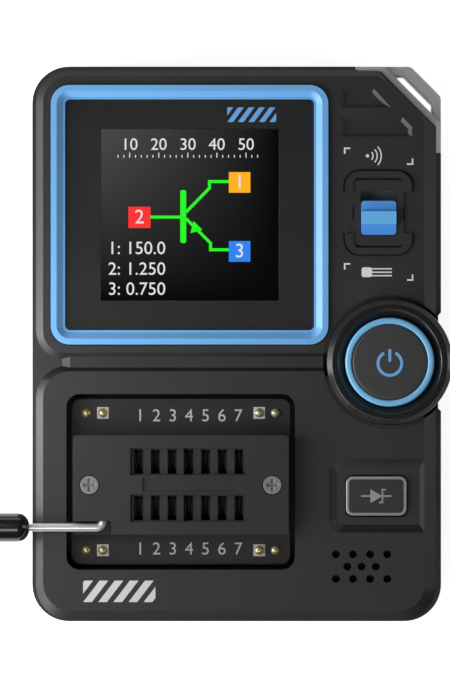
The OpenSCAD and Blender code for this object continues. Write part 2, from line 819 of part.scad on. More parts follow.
module battery_plug() {
    color([0.93, 0.92, 0.88])
    block(battery_x, battery_y + battery_h / 2 + 6, 5.6, 4, plug_low_z, board_low);
}

// Cross-headed screw: head, shank and the recess for the driver
module cross_screw(head_r, head_t, shank_r, shank_l, slot_w, slot_d) {
    difference() {
        union() {
            cylinder(r = head_r, h = head_t);
            translate([0, 0, -shank_l]) cylinder(r = shank_r, h = shank_l + small);
        }
        for (a = [0, 90]) rotate([0, 0, a]) translate([0, 0, head_t])
            cube([head_r * 1.3, slot_w, 2 * slot_d], center = true);
    }
}

module case_screws() {
    color([0.3, 0.3, 0.32])
    for (p = screw_places) translate([p[0], p[1], screw_sink]) mirror([0, 0, 1])
        cross_screw(screw_head_r, screw_head_t, screw_r, board_top + screw_grip - screw_sink, 0.7,
            0.8);
}

// ---- test button ----

module collar_profile() {
    flange_room = test_r + flange_out + 0.3;
    bore = test_r + bore_gap;
    foot = 0.6;
    polygon([[flange_room, seat_z], [collar_r - foot, seat_z], [collar_r, seat_z + foot],
        [collar_r, collar_top - collar_bevel], [collar_r - collar_bevel, collar_top],
        [bore + groove_w, collar_top], [bore, collar_top - 1.1],
        [bore, flange_low + flange_t + 0.15], [flange_room, flange_low + flange_t + 0.15]]);
}

module test_collar() {
    color([0.2, 0.2, 0.21])
    translate([test_x, test_y, 0]) rotate_extrude($fn = 96) collar_profile();
}

module test_button() {
    cap_r = test_r - ring_w;
    ring_seat = test_top - ring_t;
    hollow_r = tact_w * 0.87;
    color([0.19, 0.19, 0.2])
    translate([test_x, test_y, 0]) rotate_extrude($fn = 96)
        polygon([[0, tact_top + plunger_up], [post_r, tact_top + plunger_up],
            [post_r, test_top - 2.6], [hollow_r, test_top - 2.6], [hollow_r, flange_low],
            [test_r + flange_out, flange_low], [test_r + flange_out, flange_low + flange_t],
            [test_r, flange_low + flange_t], [test_r, ring_seat], [cap_r, ring_seat],
            [cap_r, test_top - 0.25], [cap_r - 0.25, test_top], [0, test_top + 0.1]]);
}

module test_ring() {
    cap_r = test_r - ring_w;
    ring_seat = test_top - ring_t;
    color([0.3, 0.55, 0.85])
    translate([test_x, test_y, 0]) rotate_extrude($fn = 96)
        polygon([[cap_r + 0.03, ring_seat], [test_r, ring_seat], [test_r, test_top - 0.15],
            [test_r - 0.2, test_top + 0.05], [cap_r + 0.2, test_top + 0.05],
            [cap_r + 0.03, test_top - 0.12]]);
}

module tact_body(x, y) {
    color([0.1, 0.1, 0.1])
    difference() {
        block(x, y, tact_w, tact_w, board_top, tact_top);
        post(x, y, plunger_r + pin_gap, tact_top - plunger_up - press_travel - 0.2, tact_top + 1);
    }
}

module tact_plunger(x, y) {
    color([0.12, 0.12, 0.12])
    post(x, y, plunger_r, tact_top - plunger_up, tact_top + plunger_up);
}

module test_switch_body() { tact_body(test_x, test_y); }
module test_switch_plunger() { tact_plunger(test_x, test_y); }
module zener_switch_body() { tact_body(zener_x, zener_y); }
module zener_switch_plunger() { tact_plunger(zener_x, zener_y); }

module zener_button() {
    color([0.24, 0.25, 0.26]) {
        slab(zener_x, zener_y, zener_w - 2 * rim_w - 0.06, zener_h - 2 * rim_w - 0.06, 0.6,
            zener_flange_low, zener_top);
        slab(zener_x, zener_y, zener_w, zener_h, 1, zener_flange_low, zener_top - zener_rim_t);
        slab(zener_x, zener_y, zener_w + 2, zener_h + 2, 1.4, zener_flange_low,
            zener_flange_low + zener_flange_t);
        post(zener_x, zener_y, post_r, tact_top + plunger_up, zener_flange_low + small);
    }
}

module zener_rim() {
    color([0.64, 0.65, 0.66])
    difference() {
        slab(zener_x, zener_y, zener_w, zener_h, 1, zener_top - zener_rim_t, zener_top - 0.05);
        slab(zener_x, zener_y, zener_w - 2 * rim_w, zener_h - 2 * rim_w, 0.6, zener_top - 2,
            zener_top + 1);
    }
}

// ---- mode switch ----

module mode_switch_body() {
    color([0.14, 0.14, 0.15])
    difference() {
        slab(switch_x, switch_y, switch_body_w, switch_body_l, 0.5, board_top,
            board_top + switch_t);
        block(switch_x, switch_y, stem_w + 0.6, stem_w + knob_travel + 0.7, board_top + 0.8,
            board_top + switch_t + 1);
    }
}

module mode_switch_knob() {
    knob_top = face_z + knob_rise;
    plate_top = under_z - slide_gap;
    stem_y = switch_y - knob_travel / 2;
    color([0.36, 0.61, 0.86]) {
        slab(switch_x, knob_y, knob_w, knob_l, 0.5, plate_top - shield_t, knob_top);
        block(switch_x, knob_y + 0.03, knob_w, ridge_l, knob_top - small, knob_top + ridge_rise);
        block(switch_x, stem_y, stem_w, stem_w, board_top + 1.1, plate_top - small);
    }
}

// Dust shield that rides on the knob and covers the slot from below
module mode_switch_shield() {
    plate_top = under_z - slide_gap;
    color([0.16, 0.16, 0.17])
    difference() {
        block(switch_x, knob_y, slot_w + 2.2, slot_l + 2.2, plate_top - shield_t, plate_top);
        slab(switch_x, knob_y, knob_w + 2 * fit, knob_l + 2 * fit, 0.5 + fit,
            plate_top - shield_t - 1, plate_top + 1);
    }
}

module ir_receiver() {
    lead_step = 2.54;
    color([0.12, 0.13, 0.3]) {
        slab(ir_x, ir_y, ir_w, ir_h, 0.5, board_top + 1, under_z - 0.5);
        for (k = [-1, 0, 1])
            block(ir_x + k * lead_step, ir_y, 0.5, 0.4, board_top, board_top + 1.2);
    }
}

// ---- test socket ----

module pin_places() {
    for (sx = [-1, 1], sy = [-1, 1], k = [0, 1])
        translate([well_x + sx * (well_w / 2 - well_gap - pin_side - k * pin_step),
            well_y + sy * (well_h / 2 - well_gap - pin_end), 0]) children();
}

module socket_board() {
    color([0.13, 0.13, 0.14])
    difference() {
        slab(well_x, well_y, well_w - 2 * well_gap, well_h - 2 * well_gap, 1.4, plug_low,
            plug_top);
        pin_places() translate([0, 0, plug_low - 1]) cylinder(r = 0.45, h = board_t + 2);
        for (x = socket_screw_x)
            post(x, socket_screw_y, socket_screw_r + slide_gap, plug_low - 1, plug_top + 1);
    }
}

module header_sockets() {
    header_w = 5;
    header_h = 2.5;
    color([0.1, 0.1, 0.1])
    difference() {
        for (sx = [-1, 1], sy = [-1, 1])
            block(well_x + sx * (well_w / 2 - well_gap - pin_side - pin_step / 2),
                well_y + sy * (well_h / 2 - well_gap - pin_end), header_w, header_h, board_top,
                plug_low);
        pin_places() translate([0, 0, board_top + 0.4]) cylinder(r = 0.4, h = 6);
    }
}

module header_pins() {
    color([0.85, 0.7, 0.3])
    pin_places() {
        translate([0, 0, plug_top]) rotate_extrude()
            polygon([[0, 0], [0.72, 0], [0.66, 0.22], [0.5, 0.42], [0.28, 0.55], [0, 0.6]]);
        translate([0, 0, board_top + 0.6]) cylinder(r = 0.32, h = plug_top - board_top - 0.5);
    }
}

module socket_standoffs() {
    color([0.78, 0.62, 0.3])
    for (x = socket_screw_x)
        translate([x, socket_screw_y, board_top]) difference() {
            cylinder(r = 2.1, h = plug_low - board_top, $fn = 6);
            translate([0, 0, 0.4]) cylinder(r = socket_screw_r + fit, h = 6);
        }
}

module socket_outline(z0, z1) {
    slab(socket_x, socket_y, socket_w, socket_h, 0.6, z0, z1);
}

module socket_slots(w, l, z0, z1) {
    for (row = [-1, 1], i = [0 : slots - 1])
        block(rows_x + (i - (slots - 1) / 2) * pitch, socket_y + row * row_gap / 2, w, l, z0, z1);
}

// Space over the notch where the lever's rod leaves the socket
module lever_notch(z) {
    translate([socket_left - 1, socket_low - 1, z]) cube([notch_w + 1, notch_h + 1, 9]);
}

module yoke_room(z0, z1) {
    translate([shaft_x - yoke_half - yoke_wall - crank_off - 0.3, crank_y - crank_l / 2 - web_t
        - 0.2, z0]) cube([2 * (yoke_half + yoke_wall) + crank_off + 0.6, crank_l + 2 * web_t
        + 0.4, z1 - z0]);
}

module socket_base() {
    contact_l = 3.6;
    color([0.16, 0.16, 0.17])
    difference() {
        union() {
            socket_outline(plug_top, socket_split);
            // ribs that close the shaft's bearing slots from below
            for (y = [crank_y - crank_l / 2 - 1.4, crank_y + crank_l / 2 + 2])
                block(shaft_x, y, rod_d, 0.7, socket_split - small, rod_z - rod_r - fit);
            // foot of the notch that the rod lies over
            intersection() {
                socket_outline(socket_split - small, face_z);
                translate([socket_left, socket_low, socket_split - 1])
                    cube([notch_w - 0.2, notch_h - 0.2, 2]);
            }
        }
        socket_slots(1.6, contact_l, plug_top + 0.3, socket_split + 1);
        yoke_room(yoke_floor - 0.1, socket_split + 1);
        translate([shaft_x, crank_y - yoke_l / 2 - 0.2, yoke_floor - 0.1])
            cube([slider_left - shaft_x + 1.2, yoke_l + 0.4, 4]);
        for (x = socket_screw_x)
            post(x, socket_screw_y, socket_screw_r + slide_gap, plug_top - 1, face_z + 1);
    }
}

module socket_contacts() {
    leaf_t = 0.25;
    leaf_h = socket_split - plug_top - 0.5;
    color([0.8, 0.72, 0.5])
    for (row = [-1, 1], i = [0 : slots - 1])
        translate([rows_x + (i - (slots - 1) / 2) * pitch, socket_y + row * row_gap / 2 + 1.3,
            plug_top + 0.3]) rotate([90, 0, 0]) linear_extrude(2.6)
            polygon([[-0.7, 0], [0.7, 0], [0.7, 0.3], [0.45, leaf_h * 0.7], [0.6, leaf_h],
                [0.6 - leaf_t, leaf_h], [0.45 - leaf_t, leaf_h * 0.7], [0.4, leaf_t],
                [-0.4, leaf_t], [leaf_t - 0.45, leaf_h * 0.7], [leaf_t - 0.6, leaf_h],
                [-0.6, leaf_h], [-0.45, leaf_h * 0.7], [-0.7, 0.3]]);
}

module socket_slider() {
    z0 = socket_split + slider_up;
    color([0.3, 0.3, 0.31]) {
        difference() {
            translate([slider_left, socket_y - row_gap / 2 - 2.3, z0])
                cube([slider_right - slider_left, row_gap + 4.6, slider_t]);
            socket_slots(1.6, 3.7, z0 - 1, z0 + 2);
        }
        // tongue under the plate, with the yoke's two jaws round the crank pin
        translate([shaft_x - yoke_half - yoke_wall, crank_y - yoke_l / 2, yoke_floor])
            cube([slider_left - shaft_x + yoke_half + yoke_wall + 1, yoke_l, yoke_floor_t]);
        translate([slider_left, crank_y - yoke_l / 2, yoke_floor])
            cube([1, yoke_l, z0 - yoke_floor + 0.2]);
        for (x = [shaft_x - yoke_half - yoke_wall, shaft_x + yoke_half])
            translate([x, crank_y - yoke_l / 2, yoke_floor])
                cube([yoke_wall, yoke_l, rod_z + crank_r - 0.05 - yoke_floor]);
    }
}

module socket_cover() {
    roof = socket_top - 0.55;
    color([0.16, 0.16, 0.17])
    difference() {
        socket_outline(socket_split, socket_top);
        lever_notch(socket_split - 1);
        // rows of slots in their sunk strips
        for (row = [-1, 1])
            block(rows_x, socket_y + row * row_gap / 2, slots * pitch, 4.15, socket_top - 0.7,
                socket_top + 1);
        socket_slots(slot_open, slot_long, socket_split - 1, socket_top);
        // sunk strip between the rows
        block(rows_x - 0.08, socket_y - 0.04, 13.9, 2.06, socket_top - 0.25, socket_top + 1);
        // pocket of the slider
        translate([slider_left - crank_off - 0.2, socket_y - row_gap / 2 - 2.4, socket_split - 1])
            cube([slider_right - slider_left + crank_off + 0.4, row_gap + 4.8,
                slider_t + slider_up + 1.1]);
        // room of the crank, and the shaft's bearing slots
        yoke_room(socket_split - 1, roof);
        translate([shaft_x, rod_y, rod_z]) rotate([-90, 0, 0])
            cylinder(r = rod_r + fit, h = crank_y + crank_l / 2 + 3.4 - rod_y);
        translate([shaft_x - rod_r - fit, rod_y, socket_split - 1])
            cube([rod_d + 2 * fit, crank_y + crank_l / 2 + 3.4 - rod_y, rod_z - socket_split + 1]);
        for (x = socket_screw_x) {
            post(x, socket_screw_y, socket_screw_r + slide_gap, socket_split - 1, socket_top + 1);
            post(x, socket_screw_y, socket_head_r + 0.15, socket_screw_z, socket_top + 1);
        }
    }
}

module socket_screws() {
    color([0.72, 0.73, 0.74])
    for (x = socket_screw_x)
        translate([x, socket_screw_y, socket_screw_z])
            cross_screw(socket_head_r, 0.75, socket_screw_r, socket_screw_z - board_top - 0.8,
                0.45, 0.4);
}

module lever_rod() {
    bend = 1;
    rod_end = grip_start - grip_l + 2;
    pin_z = rod_z - crank_off;
    web_h = crank_off + rod_r + crank_r;
    near = crank_y - crank_l / 2 - web_t;
    beyond = crank_y + crank_l / 2 + web_t;
    color([0.8, 0.8, 0.82]) {
        // arm
        translate([rod_end, rod_y, rod_z]) rotate([0, 90, 0])
            cylinder(r = rod_r, h = shaft_x - bend - rod_end);
        translate([shaft_x - bend, rod_y + bend, rod_z]) rotate([0, 0, -90])
            rotate_extrude(angle = 90) translate([bend, 0]) circle(rod_r, $fn = 32);
        // shaft on both sides of the crank
        translate([shaft_x, rod_y + bend, rod_z]) rotate([-90, 0, 0])
            cylinder(r = rod_r, h = near - rod_y - bend);
        translate([shaft_x, beyond, rod_z]) rotate([-90, 0, 0])
            cylinder(r = rod_r, h = 2.6);
        // crank: two webs and the pin between them
        for (y = [near, beyond - web_t])
            translate([shaft_x - crank_r, y, pin_z - crank_r])
                cube([2 * crank_r, web_t, web_h]);
        translate([shaft_x, near, pin_z]) rotate([-90, 0, 0])
            cylinder(r = crank_r, h = beyond - near);
    }
}

module lever_grip() {
    grip_r = grip_d / 2;
    end_r = 1.9;
    color([0.06, 0.06, 0.07])
    translate([grip_start, rod_y, rod_z]) rotate([0, -90, 0]) difference() {
        rotate_extrude() polygon([[0, 0], [grip_r - end_r, 0],
            for (k = [1 : arc_steps]) [grip_r - end_r + end_r * sin(90 * k / arc_steps),
                end_r - end_r * cos(90 * k / arc_steps)],
            [grip_r, grip_l - 1], [grip_r - 0.3, grip_l - 0.3], [grip_r - 1, grip_l],
            [0, grip_l]]);
        translate([0, 0, -1]) cylinder(r = rod_r, h = grip_l - 1);
    }
}

front_cover();
rear_cover();
lanyard_corner();
display_frame();
display_panel();
display_lens();
display_module();
display_holder();
main_board();
processor_chip();
charger_chip();
clock_crystal();
charging_port();
battery();
battery_leads();
battery_plug();
case_screws();
test_collar();
test_button();
test_ring();
test_switch_body();
test_switch_plunger();
zener_button();
zener_rim();
zener_switch_body();
zener_switch_plunger();
mode_switch_body();
mode_switch_knob();
mode_switch_shield();
ir_receiver();
socket_board();
header_sockets();
header_pins();
socket_standoffs();
socket_base();
socket_contacts();
socket_slider();
socket_cover();
socket_screws();
lever_rod();
lever_grip();
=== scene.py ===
"""Looks of a hand-held component tester: finishes, printed marks, screen and studio.

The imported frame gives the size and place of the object's pieces, and printed marks have
theirs here. Lengths are in millimetres and become metres when a mesh is made.
"""

import math

import bmesh
import bpy
from mathutils import Matrix, Vector


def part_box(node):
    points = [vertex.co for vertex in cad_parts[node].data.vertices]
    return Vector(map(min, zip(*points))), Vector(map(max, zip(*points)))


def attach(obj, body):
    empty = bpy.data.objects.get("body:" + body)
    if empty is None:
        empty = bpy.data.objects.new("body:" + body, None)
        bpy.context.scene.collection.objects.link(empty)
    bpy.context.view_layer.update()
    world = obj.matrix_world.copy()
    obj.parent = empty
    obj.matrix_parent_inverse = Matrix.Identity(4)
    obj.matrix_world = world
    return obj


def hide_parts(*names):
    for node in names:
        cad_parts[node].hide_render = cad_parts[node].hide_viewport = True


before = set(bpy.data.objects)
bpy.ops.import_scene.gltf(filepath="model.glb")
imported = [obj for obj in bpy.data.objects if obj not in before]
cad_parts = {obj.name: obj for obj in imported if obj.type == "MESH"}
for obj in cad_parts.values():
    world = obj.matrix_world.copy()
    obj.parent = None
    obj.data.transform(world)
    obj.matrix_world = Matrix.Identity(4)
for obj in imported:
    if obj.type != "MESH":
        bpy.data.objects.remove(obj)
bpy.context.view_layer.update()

bl_info = {
    "name": "Component tester looks",
    "version": (1, 0, 0),
    "blender": (4, 5, 0),
    "location": "3D View > Sidebar > Tester",
    "description": "Finishes and fine detail for a component tester, on its fixed frame",
    "category": "Object",
}

MM = 0.001
# height of the front cover's raised faces
FACE_Z = 22.0


# ---- places on the frame, in millimetres ----


def node_box(node):
    """Lowest and highest corner of a frame node, in millimetres."""
    low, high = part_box(node)
    return low / MM, high / MM


def node_middle(node):
    """Middle of a frame node's box."""
    low, high = node_box(node)
    return (low + high) / 2


# ---- finishes ----


def new_group(name, inputs, outputs):
    """A shader node group with the named sockets."""
    group = bpy.data.node_groups.new(name, "ShaderNodeTree")
    for label, kind, value in inputs:
        socket = group.interface.new_socket(label, in_out="INPUT", socket_type=kind)
        socket.default_value = value
    for label, kind in outputs:
        group.interface.new_socket(label, in_out="OUTPUT", socket_type=kind)
    return group


def add_node(tree, kind, place, **values):
    """A shader node at a place in the editor, with its settings."""
    node = tree.nodes.new(kind)
    node.location = place
    for key, value in values.items():
        setattr(node, key, value)
    return node


def calculate(tree, operation, place, *values, clamp=False):
    """A number worked out from sockets and constants."""
    node = add_node(tree, "ShaderNodeMath", place, operation=operation, use_clamp=clamp)
    for entry, value in zip(node.inputs, values):
        if isinstance(value, bpy.types.NodeSocket):
            tree.links.new(value, entry)
        else:
            entry.default_value = value
    return node.outputs[0]


def ramp(tree, value, start, end, place):
    """0 to 1 while a value runs from its start to its end."""
    level = add_node(tree, "ShaderNodeMapRange", place)
    level.inputs["From Min"].default_value = start
    level.inputs["From Max"].default_value = end
    tree.links.new(value, level.inputs["Value"])
    return level.outputs["Result"]


def object_parts(tree, x, y):
    """X, Y and Z of a point in the piece's own coordinates."""
    coords = add_node(tree, "ShaderNodeTexCoord", (x, y))
    parts = add_node(tree, "ShaderNodeSeparateXYZ", (x + 200, y))
    tree.links.new(coords.outputs["Object"], parts.inputs[0])
    return parts.outputs


def blend_into(tree, entry, mask, value, place):
    """Lays a colour or a number, by a mask, over what feeds an input."""
    kind, under, over, result = ("RGBA", 6, 7, 2) if entry.type == "RGBA" else ("FLOAT", 2, 3, 0)
    mix = add_node(tree, "ShaderNodeMix", place, data_type=kind)
    mix.inputs[over].default_value = value
    tree.links.new(mask, mix.inputs["Factor"])
    tree.links.new(entry.links[0].from_socket, mix.inputs[under])
    tree.links.new(mix.outputs[result], entry)


# attribute of a piece's points: 1 on its softened outer edges
WORN_EDGE = "worn_edge"
# the mottle's patches per metre, and the height of the grain
PATCHES = 90
GRAIN_HEIGHT = 0.02


def surface_group():
    """Colour, roughness and normal of a used surface: mottle, grain and worn edges."""
    name = "used_surface"
    if name in bpy.data.node_groups:
        return bpy.data.node_groups[name]
    group = new_group(
        name,
        [
            ("Base", "NodeSocketColor", (0.5, 0.5, 0.5, 1)),
            ("Worn", "NodeSocketColor", (0.6, 0.6, 0.6, 1)),
            ("Wear", "NodeSocketFloat", 0.3),
            ("Mottle", "NodeSocketFloat", 0.1),
            ("Roughness", "NodeSocketFloat", 0.5),
            ("Unevenness", "NodeSocketFloat", 0.1),
            ("Grain per metre", "NodeSocketFloat", 4000.0),
            ("Grain depth", "NodeSocketFloat", 0.2),
        ],
        [("Color", "NodeSocketColor"), ("Roughness", "NodeSocketFloat"), ("Normal", "NodeSocketVector")],
    )
    link = group.links.new
    entry = add_node(group, "NodeGroupInput", (-900, 0)).outputs
    leave = add_node(group, "NodeGroupOutput", (900, 0)).inputs
    coords = add_node(group, "ShaderNodeTexCoord", (-900, -300))
    patches = add_node(group, "ShaderNodeTexNoise", (-600, 300))
    patches.inputs["Scale"].default_value = PATCHES
    patches.inputs["Detail"].default_value = 5
    grain = add_node(group, "ShaderNodeTexNoise", (-600, -300))
    grain.inputs["Detail"].default_value = 3
    link(coords.outputs["Object"], patches.inputs["Vector"])
    link(coords.outputs["Object"], grain.inputs["Vector"])
    link(entry["Grain per metre"], grain.inputs["Scale"])
    # mottle: the base colour gets a little lighter and darker in patches and specks
    both = calculate(group, "ADD", (-350, 200), patches.outputs["Fac"], grain.outputs["Fac"])
    centred = calculate(group, "SUBTRACT", (-180, 200), both, 1)
    amount = calculate(group, "MULTIPLY_ADD", (0, 200), centred, entry["Mottle"], 1)
    tone = add_node(group, "ShaderNodeHueSaturation", (180, 200))
    link(entry["Base"], tone.inputs["Color"])
    link(amount, tone.inputs["Value"])
    # wear: edges that stick out are rubbed lighter where the patches allow it
    edges = add_node(group, "ShaderNodeAttribute", (-600, 0), attribute_name=WORN_EDGE)
    rubbed = calculate(group, "MULTIPLY", (-150, 0), edges.outputs["Fac"], patches.outputs["Fac"])
    worn = calculate(group, "MULTIPLY", (20, 0), rubbed, entry["Wear"], clamp=True)
    colour = add_node(group, "ShaderNodeMix", (400, 150), data_type="RGBA")
    link(worn, colour.inputs["Factor"])
    link(tone.outputs["Color"], colour.inputs[6])
    link(entry["Worn"], colour.inputs[7])
    link(colour.outputs[2], leave["Color"])
    # roughness follows the same patches
    uneven = calculate(
        group, "MULTIPLY_ADD", (180, -150), centred, entry["Unevenness"], entry["Roughness"], clamp=True)
    link(uneven, leave["Roughness"])
    bump = add_node(group, "ShaderNodeBump", (400, -300))
    bump.inputs["Distance"].default_value = GRAIN_HEIGHT * MM
    link(entry["Grain depth"], bump.inputs["Strength"])
    link(grain.outputs["Fac"], bump.inputs["Height"])
    link(bump.outputs["Normal"], leave["Normal"])
    return group


def grey(value):
    """A grey with a faint lean towards blue."""
    return (value, value, value * 1.03)


# painted glow: the knob gives out a faint blue light of its own, in place of light that its clear blue
# plastic passes on
KNOB_PAINTED_GLOW = {"Emission Color": (0.06, 0.30, 1.0, 1), "Emission Strength": 0.09}
# finish: base colour, worn colour, wear, mottle, roughness, unevenness, grain per metre,
# grain depth, and constants of the shader
FINISHES = {
    "case_plastic": (grey(0.030), grey(0.07), 0.5, 0.14, 0.45, 0.16, 5200, 0.35, {}),
    "silver_finish": (grey(0.66), grey(0.8), 0.4, 0.06, 0.36, 0.12, 6500, 0.18, {"Metallic": 0.25}),
    "rim_silver": (grey(0.38), grey(0.6), 0.4, 0.06, 0.36, 0.12, 6500, 0.18, {"Metallic": 0.3}),
    "blue_plastic": ((0.205, 0.545, 1.0), (0.42, 0.66, 0.97), 0.3, 0.05, 0.34, 0.1, 5200, 0.12, {}),
    "panel_plastic": (grey(0.026), grey(0.06), 0.2, 0.16, 0.3, 0.12, 5200, 0.06, {}),
    "module_metal": (grey(0.5), grey(0.7), 0.3, 0.08, 0.35, 0.2, 3000, 0.1, {"Metallic": 1.0}),
    "holder_plastic": (grey(0.7), grey(0.8), 0.2, 0.06, 0.5, 0.1, 3000, 0.1, {}),
    "board_laminate": ((0.003, 0.016, 0.010), (0.05, 0.08, 0.06), 0.2, 0.18, 0.4, 0.12, 1500, 0.1, {}),
    "chip_plastic": (grey(0.018), grey(0.05), 0.2, 0.12, 0.55, 0.1, 6000, 0.2, {}),
    "battery_wrap": ((0.42, 0.44, 0.47), (0.6, 0.6, 0.62), 0.3, 0.1, 0.3, 0.2, 1200, 0.3, {}),
    "lead_sleeve": ((0.42, 0.02, 0.015), (0.5, 0.1, 0.1), 0.1, 0.08, 0.4, 0.1, 4000, 0.1, {}),
    "screw_dark": (grey(0.06), grey(0.3), 0.6, 0.2, 0.36, 0.2, 3000, 0.15, {"Metallic": 0.9}),
    "ir_plastic": ((0.010, 0.006, 0.018), (0.03, 0.02, 0.05), 0.1, 0.08, 0.22, 0.05, 3000, 0.05, {}),
    "socket_board_black": (grey(0.028), grey(0.06), 0.3, 0.16, 0.42, 0.14, 2600, 0.12, {}),
    "pin_gold": ((0.86, 0.76, 0.34), (0.95, 0.88, 0.6), 0.4, 0.1, 0.2, 0.15, 3000, 0.06, {"Metallic": 0.6}),
    "socket_plastic": (grey(0.023), grey(0.06), 0.4, 0.14, 0.52, 0.14, 6000, 0.3, {}),
    "screw_bright": (grey(0.34), grey(0.7), 0.5, 0.12, 0.32, 0.16, 3500, 0.08, {"Metallic": 0.5}),
    "rod_steel": (grey(0.8), grey(0.9), 0.3, 0.06, 0.18, 0.1, 2500, 0.05, {"Metallic": 0.45}),
    "grip_plastic": (grey(0.010), grey(0.03), 0.2, 0.1, 0.2, 0.1, 3000, 0.05, {"Coat Weight": 0.5}),
    "collar_plastic": (grey(0.018), grey(0.04), 0.3, 0.1, 0.22, 0.08, 5200, 0.08, {}),
    "button_plastic": (grey(0.036), grey(0.08), 0.4, 0.1, 0.42, 0.12, 5200, 0.2, {}),
    "cap_plastic": (grey(0.055), grey(0.1), 0.4, 0.1, 0.42, 0.12, 5200, 0.2, {}),
    "ring_blue": ((0.24, 0.62, 1.0), (0.3, 0.5, 0.8), 0.3, 0.05, 0.3, 0.1, 4000, 0.06, {}),
    # the knob's finish carries a painted glow
    "knob_blue": ((0.10, 0.36, 0.86), (0.3, 0.5, 0.82), 0.3, 0.05, 0.36, 0.1, 5200, 0.14, KNOB_PAINTED_GLOW),
    # contacts: made dark as painted shade, for the shade inside the socket's slots
    "contact_metal": (grey(0.05), grey(0.16), 0.4, 0.16, 0.42, 0.1, 4000, 0.1, {"Metallic": 0.9}),
    "lens_glass": (grey(0.003), grey(0.01), 0.1, 0.1, 0.12, 0.06, 1500, 0.02, {"Specular IOR Level": 0.15}),
    # shield: grey raised as painted light, so that the shaded slot above the knob reads lighter
    "shield_plastic": (grey(0.17), grey(0.2), 0.1, 0.1, 0.5, 0.1, 5200, 0.1, {}),
    "print_grey": (grey(0.36), grey(0.3), 0.3, 0.08, 0.5, 0.1, 6000, 0.1, {}),
    "print_white": (grey(0.95), grey(0.6), 0.3, 0.06, 0.5, 0.1, 6000, 0.1, {}),
    "print_light": (grey(0.70), grey(0.5), 0.3, 0.08, 0.5, 0.1, 6000, 0.1, {}),
    "print_blue": ((0.190, 0.500, 0.960), (0.1, 0.2, 0.4), 0.3, 0.06, 0.45, 0.1, 6000, 0.1, {}),
}

# finishes whose base colour is a setting
OWN_COLOURS = {"case_plastic": "case_colour", "blue_plastic": "accent_colour"}


def finish(name):
    """The material of one finish, made once.

    Its label differs from the frame's plain material of the same name.
    """
    label = name + ".finish"
    if label in bpy.data.materials:
        return bpy.data.materials[label]
    base, worn, wear, mottle, rough, uneven, per_metre, depth, constants = FINISHES[name]
    if name in OWN_COLOURS:
        base = getattr(looks(), OWN_COLOURS[name])
    material = bpy.data.materials.new(label)
    material.use_nodes = True
    tree = material.node_tree
    shader = tree.nodes["Principled BSDF"]
    group = add_node(tree, "ShaderNodeGroup", (-320, 200), node_tree=surface_group())
    values = {
        "Base": (*base, 1),
        "Worn": (*worn, 1),
        "Wear": wear,
        "Mottle": mottle,
        "Roughness": rough,
        "Unevenness": uneven,
        "Grain per metre": per_metre,
        "Grain depth": depth,
    }
    for socket, value in values.items():
        group.inputs[socket].default_value = value
    tree.links.new(group.outputs["Color"], shader.inputs["Base Color"])
    tree.links.new(group.outputs["Roughness"], shader.inputs["Roughness"])
    tree.links.new(group.outputs["Normal"], shader.inputs["Normal"])
    for socket, value in constants.items():
        shader.inputs[socket].default_value = value
    return material


# slopes of the face that lie in shade: way they face, range of x and of y, and the x at
# which the shade begins and where it is full
SHADED_SLOPES = (
    ((0, 1), (-31.0, 15.0), (-5.4, -2.8), (-40.0, -32.0)),
    ((0, -1), (-31.0, 15.0), (-2.6, 0.2), (-16.0, 8.0)),
    ((0, -1), (12.4, 30.6), (-31.4, -26.4), (11.0, 12.0)),
    ((-1, 0), (12.4, 15.7), (-31.4, -15.0), (11.0, 12.0)),
)
# how far a normal leans that way where the shade begins and where it is full
SHADE_LEAN = (0.2, 0.5)
SHADE_COLOUR = grey(0.003)
SHADE_ROUGHNESS = 0.9


def slope_group():
    """A mask of the slopes that lie in shade."""
    group = new_group("shaded_slopes", [], [("Mask", "NodeSocketFloat")])
    link = group.links.new
    leave = add_node(group, "NodeGroupOutput", (1200, 0))
    coords = add_node(group, "ShaderNodeTexCoord", (-900, 0))
    parts = add_node(group, "ShaderNodeSeparateXYZ", (-700, -200))
    link(coords.outputs["Object"], parts.inputs[0])
    total = None
    for k, (way, across, along, fade) in enumerate(SHADED_SLOPES):
        row = -400 * k
        facing = add_node(group, "ShaderNodeVectorMath", (-500, row), operation="DOT_PRODUCT")
        facing.inputs[1].default_value = (*way, 0)
        link(coords.outputs["Normal"], facing.inputs[0])
        leaning = ramp(group, facing.outputs["Value"], *SHADE_LEAN, (-300, row))
        fading = ramp(group, parts.outputs["X"], fade[0] * MM, fade[1] * MM, (-300, row - 200))
        factors = [leaning, fading]
        for axis, (start, end) in (("X", across), ("Y", along)):
            middle, reach = (start + end) / 2 * MM, (end - start) / 2 * MM
            factors.append(
                calculate(group, "COMPARE", (-100, row - 100), parts.outputs[axis], middle, reach))
        product = factors[0]
        for factor in factors[1:]:
            product = calculate(group, "MULTIPLY", (300, row), product, factor)
        if total is not None:
            product = calculate(group, "ADD", (700, row), total, product, clamp=True)
        total = product
    link(total, leave.inputs["Mask"])
    return group


def shade_slopes(name):
    """Darkens a finish on the slopes that lie in shade."""
    tree = finish(name).node_tree
    shader = tree.nodes["Principled BSDF"].inputs
    mask = add_node(tree, "ShaderNodeGroup", (-700, 500), node_tree=slope_group()).outputs["Mask"]
    blend_into(tree, shader["Base Color"], mask, (*SHADE_COLOUR, 1), (-150, 400))
    blend_into(tree, shader["Roughness"], mask, SHADE_ROUGHNESS, (-150, 700))


# the screen's dots, and the level of light in a dot's middle and at its rim
DOTS_PER_METRE = 9000
DOT_LEVELS = (1.04, 0.94)


